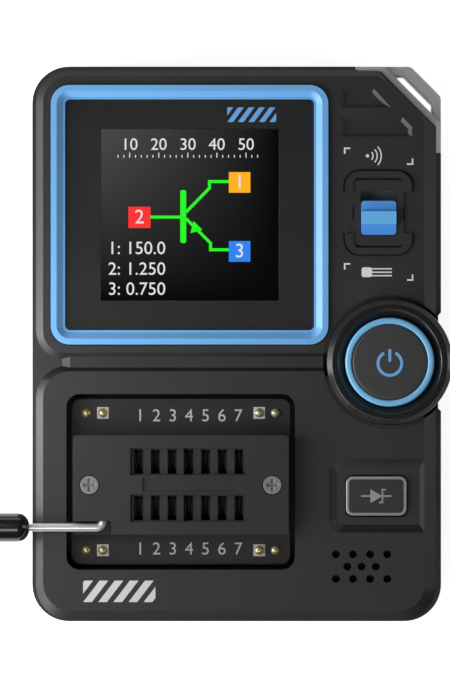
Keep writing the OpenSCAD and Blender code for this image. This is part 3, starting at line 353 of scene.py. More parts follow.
def glow(name, colour, strength):
    """A lit screen element: black under light of its own colour, with a fine dot pattern."""
    if name in bpy.data.materials:
        return bpy.data.materials[name]
    material = bpy.data.materials.new(name)
    material.use_nodes = True
    tree = material.node_tree
    shader = tree.nodes["Principled BSDF"]
    coords = add_node(tree, "ShaderNodeTexCoord", (-800, 0))
    dots = add_node(tree, "ShaderNodeTexVoronoi", (-600, 0))
    dots.inputs["Scale"].default_value = DOTS_PER_METRE
    dots.inputs["Randomness"].default_value = 0
    level = add_node(tree, "ShaderNodeMapRange", (-400, 0))
    level.inputs["To Min"].default_value = DOT_LEVELS[0]
    level.inputs["To Max"].default_value = DOT_LEVELS[1]
    tint = add_node(tree, "ShaderNodeHueSaturation", (-200, 0))
    tint.inputs["Color"].default_value = (*colour, 1)
    tree.links.new(coords.outputs["Object"], dots.inputs["Vector"])
    tree.links.new(dots.outputs["Distance"], level.inputs["Value"])
    tree.links.new(level.outputs["Result"], tint.inputs["Value"])
    tree.links.new(tint.outputs["Color"], shader.inputs["Emission Color"])
    shader.inputs["Base Color"].default_value = (0.004, 0.004, 0.004, 1)
    shader.inputs["Roughness"].default_value = 0.3
    shader.inputs["Emission Strength"].default_value = strength
    return material


def paint_ridge_highlight(name, low, high, colour):
    """Paints a highlight into a finish: a lighter colour between two heights, on the top of a ridge where
    light falls.
    """
    tree = finish(name).node_tree
    height = object_parts(tree, -900, -100)["Z"]
    level = ramp(tree, height, low * MM, high * MM, (-500, -100))
    blend_into(tree, tree.nodes["Principled BSDF"].inputs["Base Color"], level, (*colour, 1), (-150, 300))


# strength of the painted highlight: light that the lens gives out of its own, growing towards its upper
# left corner
LENS_PAINTED_HIGHLIGHT = 0.065


def lens_material(low, high):
    """Dark glossy lens with a painted highlight: it gives out a little light of its own, growing towards
    its upper left corner.

    The two corners are those of the lens's box.
    """
    material = finish("lens_glass")
    tree = material.node_tree
    shader = tree.nodes["Principled BSDF"].inputs
    parts = object_parts(tree, -1100, -300)
    # painted highlight: a mask that grows towards the lens's upper left corner
    leftness = ramp(tree, parts["X"], high.x * MM, low.x * MM, (-700, -300))
    upperness = ramp(tree, parts["Y"], low.y * MM, high.y * MM, (-700, -500))
    both = calculate(tree, "MULTIPLY", (-450, -300), leftness, upperness)
    painted_highlight = calculate(tree, "MULTIPLY", (-250, -300), both, LENS_PAINTED_HIGHLIGHT)
    shader["Emission Strength"].default_value = 1.0
    tree.links.new(painted_highlight, shader["Emission Color"])
    return material


# ---- mesh helpers, in millimetres ----

# widest strip that still counts as a softened edge, and the least sum of outward turns
# round a point on it
WORN_STRIP = 0.16
WORN_TURN = 15
# distance under which points are merged, and angles in degrees under which two faces are
# joined, and under which they count as one flat region
MERGE = 0.002
JOINED_FACES = 0.6
SAME_PLANE = 0.3


def put_piece(name, bm, body, material, smooth_angle=35):
    """A finished piece of a mesh built in millimetres, riding on a body.
    """
    bmesh.ops.recalc_face_normals(bm, faces=bm.faces)
    bmesh.ops.scale(bm, vec=(MM, MM, MM), verts=bm.verts)
    mesh = bpy.data.meshes.new(name)
    bm.to_mesh(mesh)
    bm.free()
    mesh.shade_smooth()
    mesh.set_sharp_from_angle(angle=math.radians(smooth_angle))
    mesh.materials.append(material)
    piece = bpy.data.objects.new(name, mesh)
    bpy.context.scene.collection.objects.link(piece)
    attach(piece, body)
    return piece


def flat_regions(bm):
    """For each face, the area and the mean width of the flat region that it belongs to."""
    same_plane = math.radians(SAME_PLANE)
    regions = {}
    for first in bm.faces:
        if first in regions:
            continue
        region = [first]
        found = {first}
        # the region grows while its faces are visited
        for face in region:
            for edge in face.edges:
                if len(edge.link_faces) == 2 and edge.calc_face_angle() < same_plane:
                    for other in edge.link_faces:
                        if other not in found:
                            found.add(other)
                            region.append(other)
        area = sum(face.calc_area() for face in region)
        rim = sum(
            edge.calc_length() for face in region for edge in face.edges
            if not all(other in found for other in edge.link_faces)
        )
        regions.update((face, (area, 2 * area / rim)) for face in region)
    return regions


def smooth_fan(corner):
    """All corners at the same point that are joined to this one without a sharp edge."""
    fan = [corner]
    for loop in fan:
        for edge in (loop.edge, loop.link_loop_prev.edge):
            if edge.smooth:
                fan.extend(
                    other for other in corner.vert.link_loops
                    if other not in fan and other.face in edge.link_faces
                )
    return fan


def on_worn_edge(vert, regions, widest):
    """Whether a point lies inside the narrow strips that soften an outer edge."""
    if max(regions[face][1] for face in vert.link_faces) > widest:
        return False
    turn = sum(edge.calc_face_angle_signed(0.0) for edge in vert.link_edges)
    return turn > math.radians(WORN_TURN)


def steady_shading(mesh):
    """Sets corner normals in which large flat regions win, and marks the worn edges.

    Flats then look flat up to their soft edges.
    """
    bm = bmesh.new()
    bm.from_mesh(mesh)
    regions = flat_regions(bm)
    worn = mesh.attributes.new(WORN_EDGE, "FLOAT", "POINT")
    for vert in bm.verts:
        worn.data[vert.index].value = float(on_worn_edge(vert, regions, WORN_STRIP * MM))
    normals = [None] * len(mesh.loops)
    for vert in bm.verts:
        for corner in vert.link_loops:
            if normals[corner.index] is None:
                fan = smooth_fan(corner)
                total = Vector()
                for loop in fan:
                    total += loop.face.normal * regions[loop.face][0] ** 2
                for loop in fan:
                    normals[loop.index] = total.normalized()
    bm.free()
    mesh.normals_split_custom_set(normals)


def refine(node, body, slot, width, segments=2, angle=22, look=None):
    """A merged copy of a frame node with softened edges, shown in the node's place.

    Edges that turn by more than the angle, in degrees, are rounded over the width. The
    look names a finish that isn't the slot's own.
    """
    bm = bmesh.new()
    bm.from_mesh(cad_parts[node].data)
    bmesh.ops.remove_doubles(bm, verts=bm.verts, dist=MERGE * MM)
    bmesh.ops.dissolve_limit(bm, angle_limit=math.radians(JOINED_FACES), verts=bm.verts, edges=bm.edges)
    bmesh.ops.connect_verts_concave(bm, faces=bm.faces)
    bmesh.ops.scale(bm, vec=(1 / MM, 1 / MM, 1 / MM), verts=bm.verts)
    piece = put_piece(node + ".fine", bm, body, finish(look or slot), angle)
    if width:
        edges = piece.modifiers.new("soft_edges", "BEVEL")
        edges.width = width * MM
        edges.segments = segments
        edges.limit_method = "ANGLE"
        edges.angle_limit = math.radians(angle)
        edges.miter_outer = "MITER_ARC"
        softened = piece.evaluated_get(bpy.context.evaluated_depsgraph_get())
        rough = piece.data
        piece.data = bpy.data.meshes.new_from_object(softened)
        piece.modifiers.clear()
        bpy.data.meshes.remove(rough)
        piece.data.name = piece.name
    steady_shading(piece.data)
    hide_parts(node)
    return piece


def edges_of(points):
    """Edges that meet at some points, each once and always in the same order."""
    return list(dict.fromkeys(edge for vert in points for edge in vert.link_edges))


def bar(bm, start, end, width, low, high):
    """A flat bar from one point to another, between two levels."""
    a, b = Vector((*start, 0)), Vector((*end, 0))
    along = b - a
    middle = (a + b) / 2
    made = bmesh.ops.create_cube(bm, size=1)["verts"]
    place = (
        Matrix.Translation((middle.x, middle.y, (low + high) / 2))
        @ Matrix.Rotation(math.atan2(along.y, along.x), 4, "Z")
        @ Matrix.Diagonal((along.length, width, high - low, 1))
    )
    bmesh.ops.transform(bm, matrix=place, verts=made)
    return made


def tile(bm, x, y, width, height, low, high, radius=0.0):
    """A flat rectangle with rounded corners, between two levels."""
    made = bar(bm, (x - width / 2, y), (x + width / 2, y), height, low, high)
    if radius:
        upright = [
            edge for edge in edges_of(made)
            if abs(edge.verts[0].co.z - edge.verts[1].co.z) > (high - low) / 2
        ]
        bmesh.ops.bevel(bm, geom=upright, offset=radius, segments=4, profile=0.5,
            affect="EDGES", material=-1)
    return made


def disc(bm, x, y, radius, low, high, steps=32):
    """A flat round plate."""
    bmesh.ops.create_cone(bm, cap_ends=True, segments=steps, radius1=radius, radius2=radius,
        depth=high - low, matrix=Matrix.Translation((x, y, (low + high) / 2)))


def arc(bm, x, y, radius, width, low, high, start, end, steps=24):
    """A flat band that follows a circle from one angle to another, in degrees."""
    place = (
        Matrix.Translation((x, y, 0))
        @ Matrix.Rotation(math.radians(start), 4, "Z")
        @ Matrix.Translation((radius, 0, (low + high) / 2))
        @ Matrix.Rotation(math.pi / 2, 4, "X")
        @ Matrix.Diagonal((width, high - low, 1, 1))
    )
    profile = bmesh.ops.create_grid(bm, x_segments=1, y_segments=1, size=0.5, matrix=place)["verts"]
    geometry = profile + edges_of(profile) + profile[0].link_faces[:]
    bmesh.ops.spin(bm, geom=geometry, cent=(x, y, 0), axis=(0, 0, 1),
        angle=math.radians(end - start), steps=steps)


# height of the built-in font's capitals, as a share of its size
CAP_HEIGHT = 0.73


def add_text(bm, words, x, y, height, low, high, align="CENTER"):
    """Characters in the built-in font, centred on a point or starting there."""
    curve = bpy.data.curves.new("characters", "FONT")
    curve.body = words
    curve.align_x = align
    curve.align_y = "CENTER"
    curve.extrude = 0.5
    holder = bpy.data.objects.new("characters", curve)
    bpy.context.scene.collection.objects.link(holder)
    bpy.context.view_layer.update()
    mesh = bpy.data.meshes.new_from_object(
        holder.evaluated_get(bpy.context.evaluated_depsgraph_get()))
    bpy.data.objects.remove(holder)
    bpy.data.curves.remove(curve)
    size = height / CAP_HEIGHT
    mesh.transform(Matrix.Translation((x, y, (low + high) / 2))
        @ Matrix.Diagonal((size, size, high - low, 1)))
    bm.from_mesh(mesh)
    bpy.data.meshes.remove(mesh)


# ---- printed marks ----

# how far a mark reaches into the piece that carries it, and how far it stands out
INK_SUNK = 0.02
INK_PROUD = 0.012


def ink_layer(node):
    """Lowest and highest level of a mark on top of a node."""
    top = node_box(node)[1].z
    return top - INK_SUNK, top + INK_PROUD


def stripes(bm, across, along, period, width, slant, low, high):
    """Slanting stripes between two x and two y, each end closed by a cut-off stripe."""
    left, right = across
    height = along[1] - along[0]
    lean = Matrix.Shear("XZ", 4, (slant / height, 0))
    count = int((right - left - slant) / period) + 2
    for k in range(-1, count):
        made = bar(bm, (0, 0), (width, 0), height, low, high)
        move = Matrix.Translation((left + k * period + slant / 2, along[0] + height / 2, 0))
        bmesh.ops.transform(bm, matrix=move @ lean, verts=made)
    for edge, side in ((left, -1), (right, 1)):
        bmesh.ops.bisect_plane(bm, geom=bm.verts[:] + bm.edges[:] + bm.faces[:],
            plane_co=(edge, 0, 0), plane_no=(side, 0, 0), clear_outer=True)
        bmesh.ops.holes_fill(bm, edges=[e for e in bm.edges if e.is_boundary], sides=8)


def corner_mark(bm, x, y, along, up, low, high):
    """Two short lines that meet in a corner."""
    arm, line = 0.85, 0.25
    bar(bm, (x - along * line / 2, y), (x + along * arm, y), line, low, high)
    bar(bm, (x, y + up * line / 2), (x, y + up * arm), line, low, high)


def wave_mark(bm, x, y, low, high):
    """A source and three waves: the receiver position of the switch."""
    source, line, spread = x - 1.6, 0.2, 42
    disc(bm, source, y, 0.26, low, high)
    for k in range(3):
        arc(bm, source, y, 0.85 + 0.62 * k, line, low, high, -spread, spread)


def package_mark(bm, x, y, line, low, high):
    """A small part with three leads: the test position of the switch."""
    tile(bm, x - 1.5, y, 1.6, 1.5, low, high, radius=0.35)
    for row in (-1, 0, 1):
        lead = y + row * 0.52
        bar(bm, (x - 0.7, lead), (x + 2.3, lead), line, low, high)


def power_mark(bm, x, y, radius, line, low, high):
    """An open ring with a bar: press to start."""
    half_gap = 28
    arc(bm, x, y, radius, line, low, high, 90 + half_gap, 450 - half_gap, steps=48)
    bar(bm, (x, y + 0.15 * radius), (x, y + 1.2 * radius), line, low, high)


def triangle(bm, x, y, radius, turn, low, high):
    """A flat triangle with equal sides, turned by an angle in degrees."""
    place = (
        Matrix.Translation((x, y, (low + high) / 2))
        @ Matrix.Rotation(math.radians(turn), 4, "Z")
    )
    bmesh.ops.create_cone(bm, cap_ends=True, segments=3, radius1=radius, radius2=radius,
        depth=high - low, matrix=place)


def zener_mark(bm, x, y, size, line, low, high):
    """The symbol of a diode whose bar has bent ends."""
    half = line / 2
    plate = x + 0.8 * size
    reach = 0.95 * size
    bar(bm, (x - 2.0 * size, y), (x - 0.775 * size, y), line, low, high)
    bar(bm, (plate + half, y), (x + 2.0 * size, y), line, low, high)
    triangle(bm, x - 0.25 * size, y, 1.05 * size, -90, low, high)
    bar(bm, (plate, y - reach), (plate, y + reach), line, low, high)
    for side in (1, -1):
        end = y + side * (reach - half)
        bar(bm, (plate + side * half, end), (plate + side * 0.45 * size, end), line, low, high)


# ---- groups of pieces ----


def build_shell():
    """The covers, the lanyard corner and the case screws."""
    shade_slopes("case_plastic")
    refine("front_cover", "case", "case_plastic", width=0.14, segments=3, angle=16)
    refine("rear_cover", "case", "case_plastic", width=0.16)
    refine("lanyard_corner", "case", "silver_finish", width=0.12)
    refine("case_screws", "case", "screw_dark", width=0.05)


# stripes: left and right end, foot and head, period, width of a stripe, and slant
FOOT_STRIPES = ((-23.35, -12.36), (-39.27, -36.0), 2.3, 1.32, 2.5)
PANEL_STRIPES = ((-1.42, 6.02), (33.76, 36.0), 1.6, 0.87, 1.65)
# how far the panel's stripes reach into the panel, and how far they stand out
PANEL_SUNK = 0.01
PANEL_PROUD = 0.015
# marks of the switch's two positions: x of the left and right corner marks, their y in each
# pair, and the middles of the pictograms
CORNERS_X = (16.43, 26.75)
CORNER_PAIRS_Y = ((29.75, 27.35), (12.17, 9.72))
WAVE_PLACE = (21.5, 28.6)
PACKAGE_PLACE = (21.3, 10.9)
PACKAGE_LINE = 0.2


def build_face_print(lift, thick):
    """The stripes at the foot of the face and the marks of the switch's positions."""
    low, high = FACE_Z + lift - thick, FACE_Z + lift
    bm = bmesh.new()
    stripes(bm, *FOOT_STRIPES, low, high)
    put_piece("print.stripes", bm, "case", finish("print_light"))
    bm = bmesh.new()
    for upper, lower in CORNER_PAIRS_Y:
        corner_mark(bm, CORNERS_X[0], upper, 1, -1, low, high)
        corner_mark(bm, CORNERS_X[1], lower, -1, 1, low, high)
    wave_mark(bm, *WAVE_PLACE, low, high)
    package_mark(bm, *PACKAGE_PLACE, PACKAGE_LINE, low, high)
    put_piece("print.switch_marks", bm, "case", finish("print_white"))


def build_display():
    """The display's frame, its panel with printed stripes, and its lens."""
    refine("display_frame", "case", "blue_plastic", width=0.09)
    refine("display_panel", "case", "panel_plastic", width=0.06)
    lens = refine("display_lens", "case", "lens_glass", width=0.04)
    # the lens carries a painted highlight at its upper left
    lens.data.materials[0] = lens_material(*node_box("display_lens"))
    panel_top = node_box("display_panel")[1].z
    bm = bmesh.new()
    stripes(bm, *PANEL_STRIPES, panel_top - PANEL_SUNK, panel_top + PANEL_PROUD)
    put_piece("print.panel_stripes", bm, "case", finish("print_blue"))


GREEN = (0.016, 0.92, 0.016)
WHITE = (0.75, 0.75, 0.75)
# the transistor symbol: its plate, its arrow head, and the ends of its lines
SYMBOL_PLATE = ((-8.13, 19.38), (0.9, 8.06))
ARROW_PLACE = (-6.26, 17.63)
ARROW_RADIUS = 1.1
ARROW_TURN = 135
SYMBOL_LINE = 0.456
SYMBOL_LINES = (
    ((-13.1, 19.3), (-8.31, 19.3)),
    ((-7.7, 20.06), (-4.14, 23.71)),
    ((-4.14, 23.53), (-4.14, 24.94)),
    ((-4.31, 24.71), (-1.19, 24.71)),
    ((-7.7, 19.06), (-3.98, 15.35)),
    ((-3.98, 15.53), (-3.98, 14.1)),
    ((-4.16, 14.33), (-1.19, 14.33)),
)
# lines that cross lie at two levels, so that no two faces share a plane
LINE_STEP = 0.003
# number: middle, width and height, colour
SCREEN_SQUARES = {
    "2": ((-14.79, 19.25), (3.38, 3.24), (1.0, 0.027, 0.027)),
    "1": ((0.45, 24.58), (3.28, 3.14), (1.0, 0.434, 0.010)),
    "3": ((0.45, 14.08), (3.28, 3.16), (0.023, 0.227, 0.871)),
}
SQUARE_CORNER = 0.08
DIGIT_HEIGHT = 2.2
# the digits of the squares start inside the squares and end above them
DIGIT_SUNK = 0.004
DIGIT_PROUD = 0.012
# the scale: first tick, spacing, number of ticks, and length of a plain and a numbered tick
SCALE_START = (-18.05, 28.35)
TICK_SPACING = 0.885
TICKS = 25
TICK_LENGTH = 0.4
NUMBERED_LENGTH = 0.75
TICK_WIDTH = 0.14
SCALE_NUMBER_RISE = 1.95
SCALE_NUMBER_HEIGHT = 1.85
# the readouts: where they start, their height, and each one's characters and y
READOUT_X = -19.6
READOUT_HEIGHT = 2.0
READOUTS = (("1: 150.0", 14.5), ("2: 1.250", 11.35), ("3: 0.750", 8.3))


def build_screen(brightness):
    """What the lit screen shows: a symbol with numbered leads, a scale and plain readouts."""
    low, high = ink_layer("display_lens")
    bm = bmesh.new()
    (x, y), (width, height) = SYMBOL_PLATE
    tile(bm, x, y, width, height, low, high, radius=0.3)
    for k, (start, end) in enumerate(SYMBOL_LINES):
        under = LINE_STEP * (k % 2 + 1)
        bar(bm, start, end, SYMBOL_LINE, low + under, high - under)
    triangle(bm, *ARROW_PLACE, ARROW_RADIUS, ARROW_TURN, low - LINE_STEP, high + LINE_STEP)
    put_piece("screen.symbol", bm, "case", glow("glow_green", GREEN, brightness))
    text = bmesh.new()
    for number, ((x, y), (width, height), colour) in SCREEN_SQUARES.items():
        bm = bmesh.new()
        tile(bm, x, y, width, height, low, high, radius=SQUARE_CORNER)
        put_piece("screen.square_" + number, bm, "case",
            glow("glow_square_" + number, colour, brightness))
        add_text(text, number, x, y, DIGIT_HEIGHT, high - DIGIT_SUNK, high + DIGIT_PROUD)
    start, foot = SCALE_START
    for k in range(TICKS):
        x = start + k * TICK_SPACING
        numbered = k % 5 == 2
        length = NUMBERED_LENGTH if numbered else TICK_LENGTH
        bar(text, (x, foot), (x, foot + length), TICK_WIDTH, low, high)
        if numbered:
            add_text(text, str(k * 2 + 6), x, foot + SCALE_NUMBER_RISE, SCALE_NUMBER_HEIGHT, low, high)
    for words, y in READOUTS:
        add_text(text, words, READOUT_X, y, READOUT_HEIGHT, low, high, "LEFT")
    put_piece("screen.figures", text, "case", glow("glow_white", WHITE, brightness))


# the seal round the collar: how far past the collar it begins and ends, its levels below the
# face, and its two arcs in degrees
SEAL_INNER = 0.07
SEAL_OUTER = 0.46
SEAL_FOOT = 0.6
SEAL_TOP = 0.12
SEAL_ARCS = ((58, 172), (193, 302))


def collar_seal():
    """A lip that fills the gap round the collar, apart from the channel and the side bevel."""
    low, high = node_box("test_collar")
    middle = node_middle("test_collar")
    reach = (high.x - low.x) / 2
    inner, outer = reach + SEAL_INNER, reach + SEAL_OUTER
    bm = bmesh.new()
    for start, end in SEAL_ARCS:
        arc(bm, middle.x, middle.y, (inner + outer) / 2, outer - inner,
            FACE_Z - SEAL_FOOT, FACE_Z - SEAL_TOP, start, end, steps=64)
    put_piece("trim.collar_seal", bm, "case", finish("case_plastic"))


# the power symbol: how far below the button's middle it sits, its radius and its line
POWER_DROP = 0.2
POWER_RADIUS = 1.8
POWER_LINE = 0.45


def build_test_button():
    """The round button with its ring, its collar and the symbol on it."""
    refine("test_collar", "case", "collar_plastic", width=0.12, segments=3)
    collar_seal()
    refine("test_button", "test_key", "button_plastic", width=0.14, segments=3, look="cap_plastic")
    refine("test_ring", "test_key", "ring_blue", width=0.1)
    middle = node_middle("test_button")
    bm = bmesh.new()
    power_mark(bm, middle.x, middle.y - POWER_DROP, POWER_RADIUS, POWER_LINE,
        *ink_layer("test_button"))
    put_piece("print.press_mark", bm, "test_key", finish("print_blue"))


ZENER_SIZE = 1.15
ZENER_LINE = 0.24


def build_zener_button():
    """The small rimmed button and the symbol on it."""
    refine("zener_button", "zener_key", "button_plastic", width=0.1)
    refine("zener_rim", "zener_key", "silver_finish", width=0.08, look="rim_silver")
    middle = node_middle("zener_button")
    bm = bmesh.new()
    zener_mark(bm, middle.x, middle.y, ZENER_SIZE, ZENER_LINE, *ink_layer("zener_button"))
    put_piece("print.zener_mark", bm, "zener_key", finish("print_grey"))


# painted highlight on the knob's ridge: how far below its top the lighter blue begins and is full
RIDGE_START = 0.6
RIDGE_FULL = 0.1
RIDGE_HIGHLIGHT_BLUE = (0.18, 0.58, 1.0)


def build_mode_switch():
    """The slide switch's knob and the receiver behind the grille."""
    refine("mode_switch_knob", "mode_knob", "knob_blue", width=0.14)
    top = node_box("mode_switch_knob")[1].z
    # painted highlight: the top of the knob's ridge is painted a lighter blue
    paint_ridge_highlight("knob_blue", top - RIDGE_START, top - RIDGE_FULL, RIDGE_HIGHLIGHT_BLUE)
    refine("ir_receiver", "case", "ir_plastic", width=0.1)


# numbers beside the socket: first x, spacing, height, and the y of the two rows
LEAD_X = -14.7
LEAD_SPACING = 2.49
LEAD_HEIGHT = 1.95
LEAD_ROWS = (-11.0, -31.3)
# square pads round one pin of each pair: their x, their y, their side and corner
PAD_X = (-20.395, 3.445)
PAD_Y = (-10.52, -31.46)
PAD_SIDE = 1.78
PAD_CORNER = 0.05


def build_socket_board(lift, thick):
    """The plug-in board with its pins, its numbers and the pads round the pins."""
    refine("socket_board", "case", "socket_board_black", width=0.08)
    refine("header_pins", "case", "pin_gold", width=0.0)
    top = node_box("socket_board")[1].z
    low, high = top + lift - thick, top + lift
    bm = bmesh.new()
    for y in LEAD_ROWS:
        for k in range(7):
            add_text(bm, str(k + 1), LEAD_X + LEAD_SPACING * k, y, LEAD_HEIGHT, low, high)
    put_piece("print.lead_numbers", bm, "case", finish("print_light"))
    bm = bmesh.new()
    for x in PAD_X:
        for y in PAD_Y:
            tile(bm, x, y, PAD_SIDE, PAD_SIDE, low, high, PAD_CORNER)
    put_piece("print.pin_pads", bm, "case", finish("print_light"))


# ribs of the socket: place from the cover's middle, width and length, levels below the
# cover's top, and corner
RIB_ASIDE = 0.15
RIB_ROW = 3.525
RIB_SIZE = (0.5, 4.05)
RIB_FOOT = 0.68
RIB_TOP = 0.12
RIB_CORNER = 0.06


def socket_ribs():
    """The rib between the third and fourth slot of each row."""
    middle = node_middle("socket_cover")
    top = node_box("socket_cover")[1].z
    bm = bmesh.new()
    for side in (-1, 1):
        tile(bm, middle.x + RIB_ASIDE, middle.y + side * RIB_ROW, *RIB_SIZE,
            top - RIB_FOOT, top - RIB_TOP, RIB_CORNER)
    put_piece("trim.socket_ribs", bm, "case", finish("socket_plastic"))


def build_socket():
    """The test socket's base, cover, ribs and screws."""
    refine("socket_base", "case", "socket_plastic", width=0.08)
    refine("socket_cover", "case", "socket_plastic", width=0.1)
    socket_ribs()
    refine("socket_screws", "case", "screw_bright", width=0.04)


def build_lever():
    """The lever's rod and grip."""
    refine("lever_rod", "lever", "rod_steel", width=0.05)
    refine("lever_grip", "lever", "grip_plastic", width=0.15, segments=3)


# frame nodes that keep their own mesh, with the finish each one takes
KEPT_NODES = {
    # the shield's light grey is painted light in the shaded slot
    "mode_switch_shield": "shield_plastic",
    "display_module": "module_metal",
    "display_holder": "holder_plastic",
    "main_board": "board_laminate",
    "processor_chip": "chip_plastic",
    "charger_chip": "chip_plastic",
    "clock_crystal": "module_metal",
    "charging_port": "module_metal",
    "battery": "battery_wrap",
    "battery_leads": "lead_sleeve",
    "battery_plug": "holder_plastic",
    "test_switch_body": "chip_plastic",
    "test_switch_plunger": "button_plastic",
    "zener_switch_body": "chip_plastic",
    "zener_switch_plunger": "button_plastic",
    "mode_switch_body": "chip_plastic",
    "header_sockets": "chip_plastic",
    "socket_standoffs": "pin_gold",
    # the contacts' dark finish is painted shade for the socket's shaded slots
    "socket_contacts": "contact_metal",
    "socket_slider": "socket_plastic",
}


def build_inside():
    """The nodes that keep their own mesh get their finishes."""
    for node, name in KEPT_NODES.items():
        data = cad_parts[node].data
        data.materials.clear()
        data.materials.append(finish(name))


# ---- studio ----

# lamp: place, aim, width and height in millimetres, power in watts, level that sets it
LAMPS = {
    "key": ((-150, 10, 105), (-20, 0, 15), (90, 200), 0.14, "key"),
    "key_foot": ((-200, -160, 120), (-10, -10, 15), (120, 120), 0.37, "key"),
    "key_far": ((-400, -40, 130), (0, -10, 20), (80, 100), 0.42, "key"),
    "key_strip": ((-64, -8, 42), (-10, -8, 20), (24, 120), 0.027, "key"),
    "fill": ((-60, -260, 650), (0, 0, 15), (200, 200), 0.44, "fill"),
    "edge_end": ((-20, 260, 110), (0, 0, 15), (260, 70), 0.09, "edge"),
    "edge_right": ((250, 0, 80), (0, 0, 15), (70, 240), 0.1, "edge"),
    "under": ((0, 0, -500), (0, 0, 0), (240, 240), 0.6, "fill"),
}
# the floor: half its side and its height in millimetres, colour, and light of its own that
# only rays to the background see
FLOOR_HALF = 3000
FLOOR_Z = -0.05
FLOOR_COLOUR = (0.86, 0.86, 0.86, 1)
FLOOR_LIFT = 0.85
# strength of the surroundings as light on the object, and as seen by the camera
WORLD_LIGHT = 0.02
WORLD_SEEN = 1.0
# the camera: place, height of the sensor and focal length
CAMERA_PLACE = (-1.772, 0.973, 1522)
SENSOR_HEIGHT = 36
FOCAL_LENGTH = 526


def add_lamp(name, place, aim, size, power):
    """A rectangular lamp that the camera doesn't see."""
    light = bpy.data.lights.new(name, "AREA")
    light.shape = "RECTANGLE"
    light.size, light.size_y = size[0] * MM, size[1] * MM
    light.energy = power
    lamp = bpy.data.objects.new(name, light)
    lamp.location = Vector(place) * MM
    lamp.rotation_euler = (Vector(aim) - Vector(place)).to_track_quat("-Z", "Y").to_euler()
    lamp.visible_camera = False
    bpy.context.scene.collection.objects.link(lamp)


def seen_ray(tree, path):
    """1 for a ray that shows the background: straight, in a reflection or through glass."""
    seen = path.outputs["Is Camera Ray"]
    for kind in ("Is Glossy Ray", "Is Transmission Ray"):
        seen = calculate(tree, "MAXIMUM", (-600, -200), seen, path.outputs[kind])
    return seen


def floor_material():
    """White that keeps the object's shadow, and is clear from below and for shadow rays."""
    material = bpy.data.materials.new("floor_white")
    material.use_nodes = True
    tree = material.node_tree
    shader = tree.nodes["Principled BSDF"]
    shader.inputs["Base Color"].default_value = FLOOR_COLOUR
    shader.inputs["Roughness"].default_value = 0.9
    shader.inputs["Emission Color"].default_value = (1, 1, 1, 1)
    path = add_node(tree, "ShaderNodeLightPath", (-900, -200))
    lift = calculate(tree, "MULTIPLY", (-250, -200), seen_ray(tree, path), FLOOR_LIFT)
    tree.links.new(lift, shader.inputs["Emission Strength"])
    # from below the case's back shows through the floor, and the lamp under it lights that back
    side = add_node(tree, "ShaderNodeNewGeometry", (-250, 300))
    below = calculate(
        tree, "MAXIMUM", (0, 300), side.outputs["Backfacing"], path.outputs["Is Shadow Ray"])
    clear = add_node(tree, "ShaderNodeBsdfTransparent", (0, -350))
    mix = add_node(tree, "ShaderNodeMixShader", (350, 100))
    tree.links.new(below, mix.inputs[0])
    tree.links.new(shader.outputs[0], mix.inputs[1])
    tree.links.new(clear.outputs[0], mix.inputs[2])
    tree.links.new(mix.outputs[0], tree.nodes["Material Output"].inputs["Surface"])
    return material


def build_stage(levels):
    """The floor, the lamps, the surroundings and the camera."""
    bm = bmesh.new()
    bmesh.ops.create_grid(bm, x_segments=1, y_segments=1, size=FLOOR_HALF * MM)
    mesh = bpy.data.meshes.new("floor")
    bm.to_mesh(mesh)
    bm.free()
    mesh.materials.append(floor_material())
    floor = bpy.data.objects.new("floor", mesh)
    floor.location.z = FLOOR_Z * MM
    bpy.context.scene.collection.objects.link(floor)

    for name, (place, aim, size, power, level) in LAMPS.items():
        add_lamp(name, place, aim, size, power * levels[level])
    world = bpy.data.worlds.new("studio")
    world.use_nodes = True
    tree = world.node_tree
    sky = tree.nodes["Background"]
    sky.inputs["Color"].default_value = (1, 1, 1, 1)
    path = add_node(tree, "ShaderNodeLightPath", (-600, 0))
    level = add_node(tree, "ShaderNodeMapRange", (-300, 0))
    level.inputs["To Min"].default_value = WORLD_LIGHT
    level.inputs["To Max"].default_value = WORLD_SEEN
    tree.links.new(path.outputs["Is Camera Ray"], level.inputs["Value"])
    tree.links.new(level.outputs["Result"], sky.inputs["Strength"])
    bpy.context.scene.world = world

    view = bpy.data.cameras.new("camera")
    view.sensor_fit = "VERTICAL"
    view.sensor_height = SENSOR_HEIGHT
    view.lens = FOCAL_LENGTH
    view.clip_start, view.clip_end = 0.1, 20
    camera = bpy.data.objects.new("camera", view)
    camera.location = Vector(CAMERA_PLACE) * MM
    bpy.context.scene.collection.objects.link(camera)
    bpy.context.scene.camera = camera
    bpy.context.scene.view_settings.view_transform = "Standard"


# ---- add-on ----


